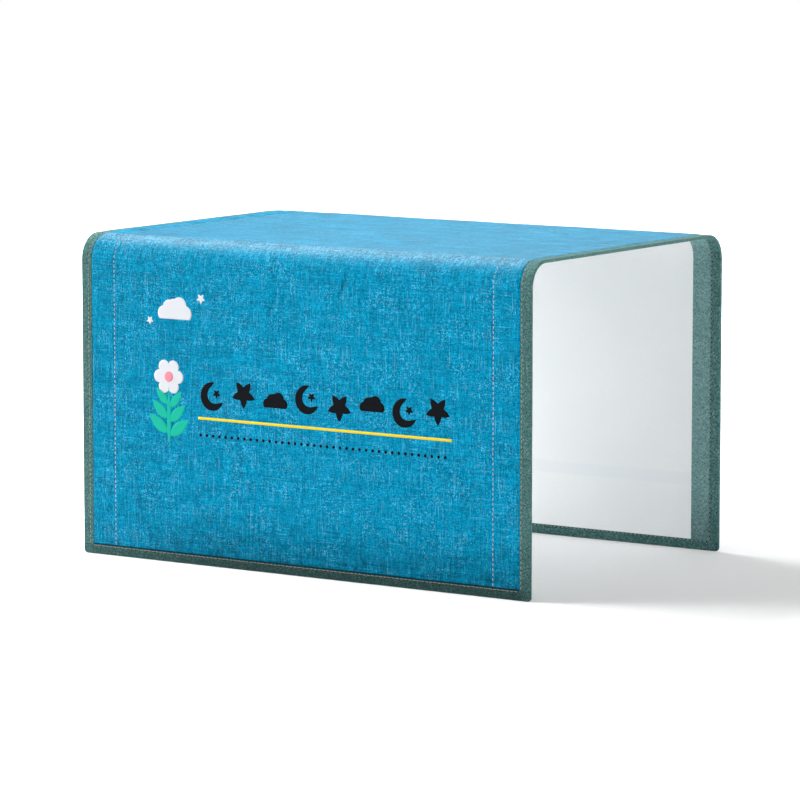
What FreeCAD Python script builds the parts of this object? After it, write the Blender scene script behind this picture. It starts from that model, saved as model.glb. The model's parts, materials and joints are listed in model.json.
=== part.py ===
import FreeCAD, Part
import math
import os

# An infant phototherapy unit: an inverted U of three thin bound panels, with a lamp and a control
# box under the top. Millimetres, +Z up. The origin is at the middle of the footprint, on the floor.
# X runs along the tunnel, the front panel faces -Y, and both panels fold inward under the top.

V = FreeCAD.Vector
FRONT = -1
REAR = 1

# Overall size, over the edge bindings
WIDTH = 560.0
DEPTH = 380.0
HEIGHT = 340.0
SHOULDER_R = 27.0
FOOT_CORNER_R = 4.0

# Layers of a wall, from the outside in
BINDING_T = 0.35
COVER_T = 0.35
BOARD_T = 1.8
LINER_T = 0.35
LAYER_GAP = 0.05

# Edge trim
SIDE_BINDING_W = 13.0
FOOT_BINDING_W = 11.0
FACING_W = 34.0

# Frame bars in the side sleeves, and the boards between them
BAR_FROM_EDGE = 15.0
BAR_W = 24.0
BOARD_FROM_EDGE = 45.0
BOARD_FROM_FLOOR = 13.0
FORMER_JOINT = 0.1

# Folds: the axis of each lies in the middle of its wall
FOLD_GAP = 2.0
ABOVE_FOLD = 1.0
FOLDED_PANELS_APART = 2.6
PIN_R = 0.5
PIN_PLAY = 0.02
CENTRE_KNUCKLE_W = 8.0
KNUCKLE_PLAY = 0.2

# Light strip in each upright panel
STRIP_Z = 69.0
STRIP_H = 13.0
STRIP_FROM_BOARD_EDGE = 15.0
STRIP_T = 0.3
STRIP_LED = 3.0
STRIP_LED_T = 1.1
STRIP_LED_PITCH = 18.0
STRIP_PLAY = 0.5
CABLE_T = 0.4
CABLE_INSET = 0.5
CABLE_SLOT_PLAY = 0.3
CABLE_TAIL = 10.0

# Lamp under the top
LAMP_FROM_EDGE = 80.0
LAMP_D = 220.0
LAMP_CORNER_R = 6.0
TRAY_H = 12.5
TRAY_T = 1.5
BOSS_R = 4.0
BOSS_SINK = 0.5
HOUSING_BOSS_H = 6.5
HOUSING_SCREW_Y = 80.0
LED_BOARDS = 3
LED_BOARD_T = 1.2
LED_BOARD_PLAY = 1.0
LED_SIZE = 3.5
LED_T = 1.2
LED_LENS_R = 1.3
LED_LENS_T = 0.6
LED_PITCH = 28.0
DIFFUSER_T = 2.0
DIFFUSER_PLAY = 0.3
BEZEL_T = 1.5
BEZEL_LIP = 12.0

# Screws
SCREW_R = 1.5
SCREW_PLAY = 0.05
THREAD_PLAY = 0.02
SCREW_HEAD_R = 2.7
SCREW_HEAD_T = 1.2
HOUSING_SCREW_L = 9.0
BEZEL_SCREW_L = 8.0
CONTROL_SCREW_L = 10.0
DRIVE_R = 0.9
DRIVE_T = 0.7

# Control box under the top, at the left end, with its face towards -X
CASE_FACE_FROM_EDGE = 18.0
CASE_TO_LAMP = 6.0
CASE_W = 120.0
CASE_H = 18.0
CASE_T = 1.8
CASE_CORNER_R = 4.0
CASE_EDGE_R = 1.5
BACKPLATE_T = 1.5
CONTROL_BOSS_R = 3.5
CONTROL_SCREW_INSET = 16.0
CONTROL_SCREW_Y = 48.0
FIT_PLAY = 0.15

# Control board and what it carries
PCB_T = 1.2
PCB_SETBACK = 9.0
PCB_GROOVE_RIB = 1.2
PCB_PLAY = 0.3
SWITCH = 6.0
SWITCH_T = 3.5
PLUNGER_R = 1.6
PLUNGER_T = 0.6
DISPLAY_Y = 3.0
DISPLAY_W = 28.0
DISPLAY_H = 9.0
WINDOW_T = 1.2
WINDOW_LEDGE = 1.0
INDICATOR_Y = 25.0
INDICATOR_R = 1.5
INDICATOR_PROUD = 0.5
INDICATOR_DOME_R = 0.45
INLET_Y = 40.0
INLET_BODY = 10.0
INLET_L = 13.0
INLET_SNOUT_R = 4.5
INLET_BORE_R = 2.75
INLET_BORE_L = 9.0
INLET_PIN_R = 1.0
INLET_PIN_BELOW_FACE = 0.9
DRIVER_L = 29.0
DRIVER_W = 84.0
DRIVER_STANDOFF = 2.0
DRIVER_STANDOFF_R = 2.0
COIL_R = 6.0
COIL_H = 7.0
COIL_Y = 13.0
CAPACITOR_R = 3.0
CAPACITOR_Y = 27.0
HARNESS_W = 8.0
HARNESS_T = 1.2
HARNESS_OVER_DIFFUSER = 1.5

# Push buttons
BUTTON_TRAVEL = 0.8
BUTTON_PROUD = 1.2
BUTTON_EDGE_R = 0.4
BUTTON_FLANGE_T = 1.0
BUTTON_FLANGE_LEDGE = 1.0
BUTTON_STEM_R = 2.0
BUTTON_STOP_PLAY = 0.05
SWITCH_PLAY = 0.15
POWER_BUTTON_R = 4.5
POWER_BUTTON_Y = -46.0
TIMER_BUTTON_R = 3.5
TIMER_UP_Y = -31.0
TIMER_DOWN_Y = -20.0

# Places that follow from the sizes above
HALF_W = WIDTH / 2
HALF_D = DEPTH / 2
COVER_DEPTH = BINDING_T + LAYER_GAP
BOARD_DEPTH = COVER_DEPTH + COVER_T + LAYER_GAP
BOARD_BACK = BOARD_DEPTH + BOARD_T
LINER_DEPTH = BOARD_BACK + LAYER_GAP
LINER_BACK = LINER_DEPTH + LINER_T
EDGE_T = LINER_BACK + LAYER_GAP + BINDING_T
MIDDLE = BOARD_DEPTH + BOARD_T / 2
SHEET_HALF_W = HALF_W - COVER_DEPTH
LINER_HALF_W = HALF_W - FACING_W
BOARD_HALF_W = HALF_W - BOARD_FROM_EDGE
BAR_X = HALF_W - BAR_FROM_EDGE - BAR_W / 2
STRIP_REACH = BOARD_HALF_W - STRIP_FROM_BOARD_EDGE
LAMP_W = WIDTH - 2 * LAMP_FROM_EDGE
SHOULDER_Z = HEIGHT - SHOULDER_R
FRONT_CUT = SHOULDER_Z - ABOVE_FOLD
FOLD_Z = {FRONT: FRONT_CUT - FOLD_GAP}
FOLD_Z[REAR] = FOLD_Z[FRONT] - EDGE_T - FOLDED_PANELS_APART
REAR_CUT = FOLD_Z[REAR] + FOLD_GAP
CEILING = HEIGHT - LINER_BACK - LAYER_GAP
TRAY_RIM = CEILING - TRAY_H
CASE_FACE = -HALF_W + CASE_FACE_FROM_EDGE
CASE_L = LAMP_FROM_EDGE - CASE_FACE_FROM_EDGE - CASE_TO_LAMP
CASE_TOP = CEILING - BACKPLATE_T - LAYER_GAP
CASE_BOTTOM = CASE_TOP - CASE_H
CONTROL_Z = (CASE_TOP + CASE_BOTTOM) / 2
PCB_FACE = CASE_FACE + CASE_T + PCB_SETBACK
CABLE_X0 = -HALF_W + BAR_FROM_EDGE + BAR_W + CABLE_INSET
CABLE_X1 = -BOARD_HALF_W - CABLE_INSET
DRIVER_TOP = CEILING - BACKPLATE_T - DRIVER_STANDOFF
DRIVER_X0 = CASE_FACE + CASE_L - CASE_T - PCB_PLAY - DRIVER_L
CABLE_DROP_Y = DRIVER_W / 2 + CABLE_TAIL
HARNESS_Z = TRAY_RIM + LAYER_GAP + DIFFUSER_T + HARNESS_OVER_DIFFUSER + HARNESS_T / 2


def box(x0, x1, y0, y1, z0, z1):
    low = V(min(x0, x1), min(y0, y1), min(z0, z1))
    return Part.makeBox(abs(x1 - x0), abs(y1 - y0), abs(z1 - z0), low)


def rod(radius, start, end):
    return Part.makeCylinder(radius, (end - start).Length, start, end - start)


def cone(radius_a, radius_b, start, end):
    return Part.makeCone(radius_a, radius_b, (end - start).Length, start, end - start)


def fuse(shapes):
    whole = shapes[0].multiFuse(shapes[1:]) if len(shapes) > 1 else shapes[0]
    return whole.removeSplitter()


def cut(shape, tools):
    for tool in tools:
        shape = shape.cut(tool)
    return shape


def line(a, b):
    return Part.LineSegment(a, b).toShape()


def arc(a, through, b):
    return Part.Arc(a, through, b).toShape()


def rounded_block(x0, x1, y0, y1, z0, z1, radius):
    """A block with its upright corners rounded."""
    block = box(x0, x1, y0, y1, z0, z1)
    upright = [e for e in block.Edges if abs(e.tangentAt(e.FirstParameter).z) > 0.9]
    return block.makeFillet(radius, upright)


def shoulder_point(side, depth, turn):
    """A point of the shoulder's arc; turn is 0 at the upright wall and a quarter turn at the top."""
    reach = SHOULDER_R - depth
    y = side * (HALF_D - SHOULDER_R + reach * math.cos(turn))
    return V(0, y, SHOULDER_Z + reach * math.sin(turn))


def bent_edges(depth):
    """The wall's section line at one depth, from the front fold over the top to the rear fold."""
    eighth, quarter = math.pi / 4, math.pi / 2
    front = [shoulder_point(FRONT, depth, turn) for turn in (0, eighth, quarter)]
    rear = [shoulder_point(REAR, depth, turn) for turn in (0, eighth, quarter)]
    front_end = V(0, front[0].y, FRONT_CUT)
    rear_end = V(0, rear[0].y, REAR_CUT)
    return [
        line(front_end, front[0]),
        arc(front[0], front[1], front[2]),
        line(front[2], rear[2]),
        arc(rear[2], rear[1], rear[0]),
        line(rear[0], rear_end),
    ]


def bent_sheet(x0, x1, near, far):
    """A layer of the top: both shoulders and the flat between them, from one depth to another."""
    ends = []
    for side, low in ((REAR, REAR_CUT), (FRONT, FRONT_CUT)):
        outer = V(0, side * (HALF_D - near), low)
        inner = V(0, side * (HALF_D - far), low)
        ends.append((outer, inner))
    edges = bent_edges(near) + [line(*ends[0])] + bent_edges(far)[::-1] + [line(ends[1][1], ends[1][0])]
    face = Part.Face(Part.Wire(edges))
    face.translate(V(min(x0, x1), 0, 0))
    return face.extrude(V(abs(x1 - x0), 0, 0))


def upright_sheet(side, half_w, low, near, far, corner_r):
    """A layer of the front or rear panel, up to its fold, with rounded bottom corners."""
    high = FOLD_Z[side] - FOLD_GAP
    y0, y1 = side * (HALF_D - near), side * (HALF_D - far)
    inset = corner_r * (1 - math.sqrt(0.5))
    points = [V(x, y0, z) for x, z in (
        (-half_w, high),
        (-half_w, low + corner_r),
        (-half_w + corner_r, low),
        (half_w - corner_r, low),
        (half_w, low + corner_r),
        (half_w, high),
    )]
    left = V(-half_w + inset, y0, low + inset)
    right = V(half_w - inset, y0, low + inset)
    edges = [
        line(points[0], points[1]),
        arc(points[1], left, points[2]),
        line(points[2], points[3]),
        arc(points[3], right, points[4]),
        line(points[4], points[5]),
        line(points[5], points[0]),
    ]
    return Part.Face(Part.Wire(edges)).extrude(V(0, y1 - y0, 0))


def upright_block(side, x0, x1, z0, z1, near, far):
    return box(x0, x1, side * (HALF_D - near), side * (HALF_D - far), z0, z1)


def both_ends(make):
    """One solid at each end of the tunnel; make takes the end's sign."""
    return Part.makeCompound([make(-1), make(1)])


# Hinges in the side sleeves

def knuckle(side, end, x0, x1, way):
    """A knuckle with its web: way is 1 where it hangs from the top's bar, -1 where it tops a leg."""
    axis_y = side * (HALF_D - MIDDLE)
    z = FOLD_Z[side]
    web = upright_block(side, end * x0, end * x1, z, z + way * FOLD_GAP, BOARD_DEPTH, BOARD_BACK)
    barrel = rod(BOARD_T / 2, V(end * x0, axis_y, z), V(end * x1, axis_y, z))
    return web.fuse(barrel)


def pin_hole(side, end):
    axis_y = side * (HALF_D - MIDDLE)
    start = V(end * (BAR_X - BAR_W), axis_y, FOLD_Z[side])
    return rod(PIN_R + PIN_PLAY, start, V(end * (BAR_X + BAR_W), axis_y, FOLD_Z[side]))


def hinge_pins(side):
    axis_y = side * (HALF_D - MIDDLE)

    def pin(end):
        start = V(end * (BAR_X - BAR_W / 2), axis_y, FOLD_Z[side])
        return rod(PIN_R, start, V(end * (BAR_X + BAR_W / 2), axis_y, FOLD_Z[side]))

    return both_ends(pin)


def top_rails():
    half_knuckle = CENTRE_KNUCKLE_W / 2

    def rail(end):
        bar = bent_sheet(end * (BAR_X - BAR_W / 2), end * (BAR_X + BAR_W / 2), BOARD_DEPTH, BOARD_BACK)
        knuckles = [knuckle(s, end, BAR_X - half_knuckle, BAR_X + half_knuckle, 1) for s in (FRONT, REAR)]
        holes = [pin_hole(s, end) for s in (FRONT, REAR)]
        if end < 0:
            holes += [screw_hole(x, y) for x, y in control_screw_places()]
        return cut(fuse([bar] + knuckles), holes)

    return both_ends(rail)


def legs(side):
    inner = CENTRE_KNUCKLE_W / 2 + KNUCKLE_PLAY

    def leg(end):
        x0, x1 = BAR_X - BAR_W / 2, BAR_X + BAR_W / 2
        high = FOLD_Z[side] - FOLD_GAP
        bar = upright_block(side, end * x0, end * x1, COVER_DEPTH, high, BOARD_DEPTH, BOARD_BACK)
        knuckles = [knuckle(side, end, x0, BAR_X - inner, -1), knuckle(side, end, BAR_X + inner, x1, -1)]
        return cut(fuse([bar] + knuckles), [pin_hole(side, end)])

    return both_ends(leg)


# Layers of the top

def top_cover():
    return bent_sheet(-SHEET_HALF_W, SHEET_HALF_W, COVER_DEPTH, COVER_DEPTH + COVER_T)


def top_core_board():
    y = HALF_D - SHOULDER_R - FORMER_JOINT
    board = box(-BOARD_HALF_W, BOARD_HALF_W, -y, y, HEIGHT - BOARD_BACK, HEIGHT - BOARD_DEPTH)
    places = housing_screw_places() + control_screw_places()
    return cut(board, [screw_hole(x, y) for x, y in places])


def corner_former(side):
    whole = bent_sheet(-BOARD_HALF_W, BOARD_HALF_W, BOARD_DEPTH, BOARD_BACK)
    shoulder = box(-HALF_W, HALF_W, side * (HALF_D - SHOULDER_R), side * HALF_D, 0, HEIGHT)
    return whole.common(shoulder)


def top_liner():
    liner = bent_sheet(-LINER_HALF_W, LINER_HALF_W, LINER_DEPTH, LINER_BACK)
    places = housing_screw_places() + control_screw_places()
    holes = [screw_hole(x, y) for x, y in places] + [cable_slot(side) for side in (FRONT, REAR)]
    return cut(liner, holes)


def top_facings():
    def facing(end):
        band = bent_sheet(end * (LINER_HALF_W + LAYER_GAP), end * SHEET_HALF_W, LINER_DEPTH, LINER_BACK)
        return cut(band, [screw_hole(x, y) for x, y in control_screw_places()]) if end < 0 else band

    return both_ends(facing)


def top_bindings():
    def binding(end):
        around = bent_sheet(end * (HALF_W - SIDE_BINDING_W), end * HALF_W, 0, EDGE_T)
        held = bent_sheet(0, end * (HALF_W - BINDING_T), BINDING_T, EDGE_T - BINDING_T)
        return around.cut(held)

    return both_ends(binding)


# Layers of an upright panel

def upright_cover(side):
    return upright_sheet(side, SHEET_HALF_W, COVER_DEPTH, COVER_DEPTH, COVER_DEPTH + COVER_T,
                         FOOT_CORNER_R - COVER_DEPTH)


def upright_board(side):
    high = FOLD_Z[side] - FOLD_GAP
    board = upright_block(side, -BOARD_HALF_W, BOARD_HALF_W, BOARD_FROM_FLOOR, high,
                          BOARD_DEPTH, BOARD_BACK)
    groove = upright_block(side, -HALF_W, STRIP_REACH + STRIP_PLAY, STRIP_Z - STRIP_PLAY,
                           STRIP_Z + STRIP_H + STRIP_PLAY, 0, EDGE_T)
    return board.cut(groove)


def upright_liner(side):
    high = FOLD_Z[side] - FOLD_GAP
    return upright_block(side, -LINER_HALF_W, LINER_HALF_W, COVER_DEPTH, high, LINER_DEPTH, LINER_BACK)


def upright_facings(side):
    whole = upright_sheet(side, SHEET_HALF_W, COVER_DEPTH, LINER_DEPTH, LINER_BACK,
                          FOOT_CORNER_R - COVER_DEPTH)
    return both_ends(lambda end: whole.common(
        box(end * (LINER_HALF_W + LAYER_GAP), end * HALF_W, -HALF_D, HALF_D, 0, HEIGHT)))


def upright_binding(side):
    around = upright_sheet(side, HALF_W, 0, 0, EDGE_T, FOOT_CORNER_R)
    held = upright_sheet(side, HALF_W - BINDING_T, BINDING_T, BINDING_T, EDGE_T - BINDING_T,
                         FOOT_CORNER_R - BINDING_T)
    reach = HALF_W - SIDE_BINDING_W
    bare = box(-reach, reach, -HALF_D, HALF_D, FOOT_BINDING_W, HEIGHT)
    return cut(around, [held, bare])


def led_strip(side):
    near = BOARD_DEPTH
    return upright_block(side, CABLE_X0, STRIP_REACH, STRIP_Z, STRIP_Z + STRIP_H, near, near + STRIP_T)


def strip_leds(side):
    near = BOARD_DEPTH + STRIP_T + LAYER_GAP
    z = STRIP_Z + (STRIP_H - STRIP_LED) / 2
    count = int(2 * (STRIP_REACH - STRIP_LED) / STRIP_LED_PITCH) + 1
    first = -STRIP_LED_PITCH * (count - 1) / 2
    leds = []
    for i in range(count):
        x = first + i * STRIP_LED_PITCH - STRIP_LED / 2
        leds.append(upright_block(side, x, x + STRIP_LED, z, z + STRIP_LED, near, near + STRIP_LED_T))
    return Part.makeCompound(leds)


# Wiring of the light strips: up the panel, across the fold, over the shoulder, down into the control box

def cable_slot(side):
    """The gap in the lining and in the box's backplate where a strip's cable comes down."""
    y0 = side * (CABLE_DROP_Y - CABLE_SLOT_PLAY)
    y1 = side * (CABLE_DROP_Y + CABLE_T + CABLE_SLOT_PLAY)
    low, high = CASE_TOP, HEIGHT - BOARD_BACK
    return box(CABLE_X0 - CABLE_SLOT_PLAY, CABLE_X1 + CABLE_SLOT_PLAY, y0, y1, low - LAYER_GAP, high)


def led_cable(side):
    near = BOARD_DEPTH + STRIP_T + LAYER_GAP
    far = near + CABLE_T
    end_y = CABLE_DROP_Y + CABLE_T
    bent = bent_sheet(CABLE_X0, CABLE_X1, near, far)
    over = bent.common(box(-HALF_W, HALF_W, side * CABLE_DROP_Y, side * HALF_D, 0, HEIGHT))
    low = REAR_CUT if side == REAR else FRONT_CUT
    up = upright_block(side, CABLE_X0, CABLE_X1, STRIP_Z, low, near, far)
    board_z = DRIVER_TOP - PCB_T / 2
    drop = box(CABLE_X0, CABLE_X1, side * CABLE_DROP_Y, side * end_y, board_z - CABLE_T / 2, HEIGHT - near)
    tail = box(CABLE_X0, CABLE_X1, side * (DRIVER_W / 2 + LAYER_GAP), side * end_y,
               board_z - CABLE_T / 2, board_z + CABLE_T / 2)
    return fuse([up, over, drop, tail])


# Flexible stretches across a fold

def fold_strip(side, x0, x1, near, far):
    low, high = FOLD_Z[side] - FOLD_GAP, FOLD_Z[side] + FOLD_GAP
    return upright_block(side, x0, x1, low, high, near, far)


def fold_cover(side):
    return fold_strip(side, -SHEET_HALF_W, SHEET_HALF_W, COVER_DEPTH, COVER_DEPTH + COVER_T)


def fold_liner(side):
    return fold_strip(side, -LINER_HALF_W, LINER_HALF_W, LINER_DEPTH, LINER_BACK)


def fold_facings(side):
    x0 = LINER_HALF_W + LAYER_GAP
    return both_ends(lambda end: fold_strip(side, end * x0, end * SHEET_HALF_W, LINER_DEPTH, LINER_BACK))


def fold_bindings(side):
    def binding(end):
        around = fold_strip(side, end * (HALF_W - SIDE_BINDING_W), end * HALF_W, 0, EDGE_T)
        held = fold_strip(side, 0, end * (HALF_W - BINDING_T), BINDING_T, EDGE_T - BINDING_T)
        return around.cut(held)

    return both_ends(binding)


# Countersunk screws

def screw(x, y, head_z, length, way):
    """A countersunk screw: way is -1 where it points down from head_z, 1 where it points up."""
    head = cone(SCREW_HEAD_R, SCREW_R, V(x, y, head_z), V(x, y, head_z + way * SCREW_HEAD_T))
    shank = rod(SCREW_R, V(x, y, head_z + way * SCREW_HEAD_T / 2), V(x, y, head_z + way * length))
    drive = rod(DRIVE_R, V(x, y, head_z), V(x, y, head_z + way * DRIVE_T))
    return head.fuse(shank).cut(drive)


def countersink(x, y, head_z, way):
    """The hole for a countersunk screw through the piece that its head sits in."""
    far = head_z + way * SCREW_HEAD_T
    widen = SCREW_PLAY
    head = cone(SCREW_HEAD_R + widen, SCREW_R + widen, V(x, y, head_z), V(x, y, far))
    mouth = rod(SCREW_HEAD_R + widen, V(x, y, head_z - way * LAYER_GAP), V(x, y, head_z))
    return head.fuse(mouth)


def screw_hole(x, y):
    """The hole down through the top's board or bar and its lining."""
    head_z = HEIGHT - BOARD_DEPTH - LAYER_GAP
    through = rod(SCREW_R + SCREW_PLAY, V(x, y, head_z), V(x, y, CEILING))
    return countersink(x, y, head_z, -1).fuse(through)


def thread_hole(x, y, start_z, length, way):
    return rod(SCREW_R + THREAD_PLAY, V(x, y, start_z), V(x, y, start_z + way * length))


def housing_screw_places():
    pitch = led_board_length() + led_board_gap()
    xs = [(i + 1 - LED_BOARDS / 2) * pitch for i in range(LED_BOARDS - 1)]
    return [(x, y) for x in xs for y in (-HOUSING_SCREW_Y, 0, HOUSING_SCREW_Y)]


def bezel_screw_places():
    x = LAMP_W / 2 - TRAY_T - BOSS_R + BOSS_SINK
    y = LAMP_D / 2 - TRAY_T - BOSS_R + BOSS_SINK
    return [(i * x, j * y) for i in (-1, 0, 1) for j in (-1, 1)]


def control_screw_places():
    xs = (CASE_FACE + CONTROL_SCREW_INSET, CASE_FACE + CASE_L - CONTROL_SCREW_INSET)
    return [(x, y) for x in xs for y in (-CONTROL_SCREW_Y, CONTROL_SCREW_Y)]


def hung_screws(places, length):
    """Screws that go down through the top's board, their heads under the cover."""
    head_z = HEIGHT - BOARD_DEPTH - LAYER_GAP
    return Part.makeCompound([screw(x, y, head_z, length, -1) for x, y in places])


# Lamp

def led_board_gap():
    return 2 * (BOSS_R + LED_BOARD_PLAY)


def led_board_length():
    inside = LAMP_W - 2 * (TRAY_T + 2 * BOSS_R + LED_BOARD_PLAY)
    return (inside - (LED_BOARDS - 1) * led_board_gap()) / LED_BOARDS


def led_board_half_depth():
    return LAMP_D / 2 - TRAY_T - 2 * BOSS_R - LED_BOARD_PLAY


def light_housing():
    x, y = LAMP_W / 2, LAMP_D / 2
    outside = rounded_block(-x, x, -y, y, TRAY_RIM, CEILING, LAMP_CORNER_R)
    inside = rounded_block(-x + TRAY_T, x - TRAY_T, -y + TRAY_T, y - TRAY_T, TRAY_RIM,
                           CEILING - TRAY_T, LAMP_CORNER_R - TRAY_T)
    under = CEILING - TRAY_T
    hung = [rod(BOSS_R, V(a, b, under - HOUSING_BOSS_H), V(a, b, under)) for a, b in housing_screw_places()]
    rim = [rod(BOSS_R, V(a, b, TRAY_RIM), V(a, b, under)) for a, b in bezel_screw_places()]
    tray = fuse([outside.cut(inside)] + hung + rim)
    holes = [thread_hole(a, b, CEILING, HOUSING_SCREW_L, -1) for a, b in housing_screw_places()]
    holes += [thread_hole(a, b, TRAY_RIM, BEZEL_SCREW_L, 1) for a, b in bezel_screw_places()]
    return cut(tray, holes + [harness_slot()])


def led_board_centre(index):
    return (index - (LED_BOARDS - 1) / 2) * (led_board_length() + led_board_gap())


def led_board(index):
    x = led_board_centre(index)
    half = led_board_length() / 2
    y = led_board_half_depth()
    high = CEILING - TRAY_T - LAYER_GAP
    return box(x - half, x + half, -y, y, high - LED_BOARD_T, high)


def led(x, y, high):
    body = box(x - LED_SIZE / 2, x + LED_SIZE / 2, y - LED_SIZE / 2, y + LED_SIZE / 2, high - LED_T, high)
    lens = rod(LED_LENS_R, V(x, y, high - LED_T), V(x, y, high - LED_T - LED_LENS_T))
    return body.fuse(lens)


def led_packages():
    high = CEILING - TRAY_T - 2 * LAYER_GAP - LED_BOARD_T
    across = int((led_board_length() - 2 * LED_SIZE) / LED_PITCH) + 1
    along = int(2 * (led_board_half_depth() - LED_SIZE) / LED_PITCH) + 1
    leds = []
    for index in range(LED_BOARDS):
        for i in range(across):
            for j in range(along):
                x = led_board_centre(index) + (i - (across - 1) / 2) * LED_PITCH
                leds.append(led(x, (j - (along - 1) / 2) * LED_PITCH, high))
    return Part.makeCompound(leds)


def light_diffuser():
    x = LAMP_W / 2 - TRAY_T - DIFFUSER_PLAY
    y = LAMP_D / 2 - TRAY_T - DIFFUSER_PLAY
    low = TRAY_RIM + LAYER_GAP
    plate = rounded_block(-x, x, -y, y, low, low + DIFFUSER_T, LAMP_CORNER_R - TRAY_T - DIFFUSER_PLAY)
    reach = BOSS_R + DIFFUSER_PLAY
    notches = []
    for a, b in bezel_screw_places():
        notches.append(rod(reach, V(a, b, TRAY_RIM), V(a, b, CEILING)))
    return cut(plate, notches)


def light_bezel():
    x, y = LAMP_W / 2, LAMP_D / 2
    low = TRAY_RIM - BEZEL_T
    ring = rounded_block(-x, x, -y, y, low, TRAY_RIM, LAMP_CORNER_R)
    opening = rounded_block(-x + BEZEL_LIP, x - BEZEL_LIP, -y + BEZEL_LIP, y - BEZEL_LIP, low, TRAY_RIM,
                            LAMP_CORNER_R)
    holes = []
    for a, b in bezel_screw_places():
        holes.append(rod(SCREW_R + SCREW_PLAY, V(a, b, low), V(a, b, TRAY_RIM)))
        holes.append(countersink(a, b, low, 1))
    return cut(ring, [opening] + holes)


def bezel_screws():
    low = TRAY_RIM - BEZEL_T
    return Part.makeCompound([screw(a, b, low, BEZEL_SCREW_L, 1) for a, b in bezel_screw_places()])


# Control box

def case_span():
    return CASE_FACE, CASE_FACE + CASE_L, CASE_W / 2


def face_hole(y, radius):
    return rod(radius, V(CASE_FACE - CASE_T, y, CONTROL_Z), V(CASE_FACE + 2 * CASE_T, y, CONTROL_Z))


def buttons():
    return {
        "power_button": (POWER_BUTTON_Y, POWER_BUTTON_R),
        "timer_up_button": (TIMER_UP_Y, TIMER_BUTTON_R),
        "timer_down_button": (TIMER_DOWN_Y, TIMER_BUTTON_R),
    }


def harness_slot():
    play = FIT_PLAY
    half = HARNESS_W / 2 + play
    x0, x1 = case_span()[1] - 2 * CASE_T, -LAMP_W / 2 + 2 * TRAY_T
    return box(x0, x1, -half, half, HARNESS_Z - HARNESS_T / 2 - play, HARNESS_Z + HARNESS_T / 2 + play)


def light_harness():
    """A flat lead from the driver to the first light board."""
    half = HARNESS_W / 2
    start = case_span()[1] - CASE_T - PCB_PLAY - HARNESS_T
    end = -LAMP_W / 2 + TRAY_T + 2 * BOSS_R + LED_BOARD_PLAY + HARNESS_T
    flat = box(start, end, -half, half, HARNESS_Z - HARNESS_T / 2, HARNESS_Z + HARNESS_T / 2)
    board_low = CEILING - TRAY_T - 2 * LAYER_GAP - LED_BOARD_T
    up = box(end - HARNESS_T, end, -half, half, HARNESS_Z, board_low)
    to_driver = box(start, start + HARNESS_T, -half, half, HARNESS_Z, DRIVER_TOP - PCB_T - LAYER_GAP)
    return fuse([flat, up, to_driver])


def control_case():
    x0, x1, y = case_span()
    outside = rounded_block(x0, x1, -y, y, CASE_BOTTOM, CASE_TOP, CASE_CORNER_R)
    rim = [e for e in outside.Edges if abs(e.BoundBox.ZMax - CASE_BOTTOM) < 1e-6]
    outside = outside.makeFillet(CASE_EDGE_R, rim)
    inside = rounded_block(x0 + CASE_T, x1 - CASE_T, -y + CASE_T, y - CASE_T, CASE_BOTTOM + CASE_T,
                           CASE_TOP, CASE_CORNER_R - CASE_T)
    shell = outside.cut(inside)
    bosses = []
    for a, b in control_screw_places():
        bosses.append(rod(CONTROL_BOSS_R, V(a, b, CASE_BOTTOM), V(a, b, CASE_TOP)))
    ribs = []
    wall = y - CASE_T
    for end in (-1, 1):
        for start in (PCB_FACE - FIT_PLAY - PCB_GROOVE_RIB, PCB_FACE + PCB_T + FIT_PLAY):
            y0, y1 = end * (wall - PCB_GROOVE_RIB), end * wall
            ribs.append(box(start, start + PCB_GROOVE_RIB, y0, y1, CASE_BOTTOM + CASE_T, CASE_TOP))
    holes = [face_hole(at, radius + FIT_PLAY) for at, radius in buttons().values()]
    holes.append(face_hole(INDICATOR_Y, INDICATOR_R + FIT_PLAY))
    holes.append(face_hole(INLET_Y, INLET_SNOUT_R + FIT_PLAY))
    half_w, half_h = DISPLAY_W / 2 + FIT_PLAY, DISPLAY_H / 2 + FIT_PLAY
    holes.append(box(CASE_FACE - CASE_T, CASE_FACE + 2 * CASE_T, DISPLAY_Y - half_w, DISPLAY_Y + half_w,
                     CONTROL_Z - half_h, CONTROL_Z + half_h))
    for a, b in control_screw_places():
        holes.append(thread_hole(a, b, CASE_TOP, CONTROL_SCREW_L, -1))
    return cut(fuse([shell] + bosses + ribs), holes + [harness_slot()])


def control_backplate():
    x0, x1, y = case_span()
    plate = rounded_block(x0, x1, -y, y, CEILING - BACKPLATE_T, CEILING, CASE_CORNER_R)
    places = driver_standoff_places()
    standoffs = [rod(DRIVER_STANDOFF_R, V(a, b, DRIVER_TOP), V(a, b, CEILING - BACKPLATE_T / 2))
                 for a, b in places]
    holes = []
    for a, b in control_screw_places():
        holes.append(rod(SCREW_R + SCREW_PLAY, V(a, b, CASE_TOP), V(a, b, CEILING)))
    return cut(fuse([plate] + standoffs), holes + [cable_slot(side) for side in (FRONT, REAR)])


def driver_standoff_places():
    x0 = DRIVER_X0 + 2 * DRIVER_STANDOFF_R
    x1 = DRIVER_X0 + DRIVER_L - 2 * DRIVER_STANDOFF_R
    y = DRIVER_W / 2 - 2 * DRIVER_STANDOFF_R
    return [(x, s * y) for x in (x0, x1) for s in (-1, 1)]


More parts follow.
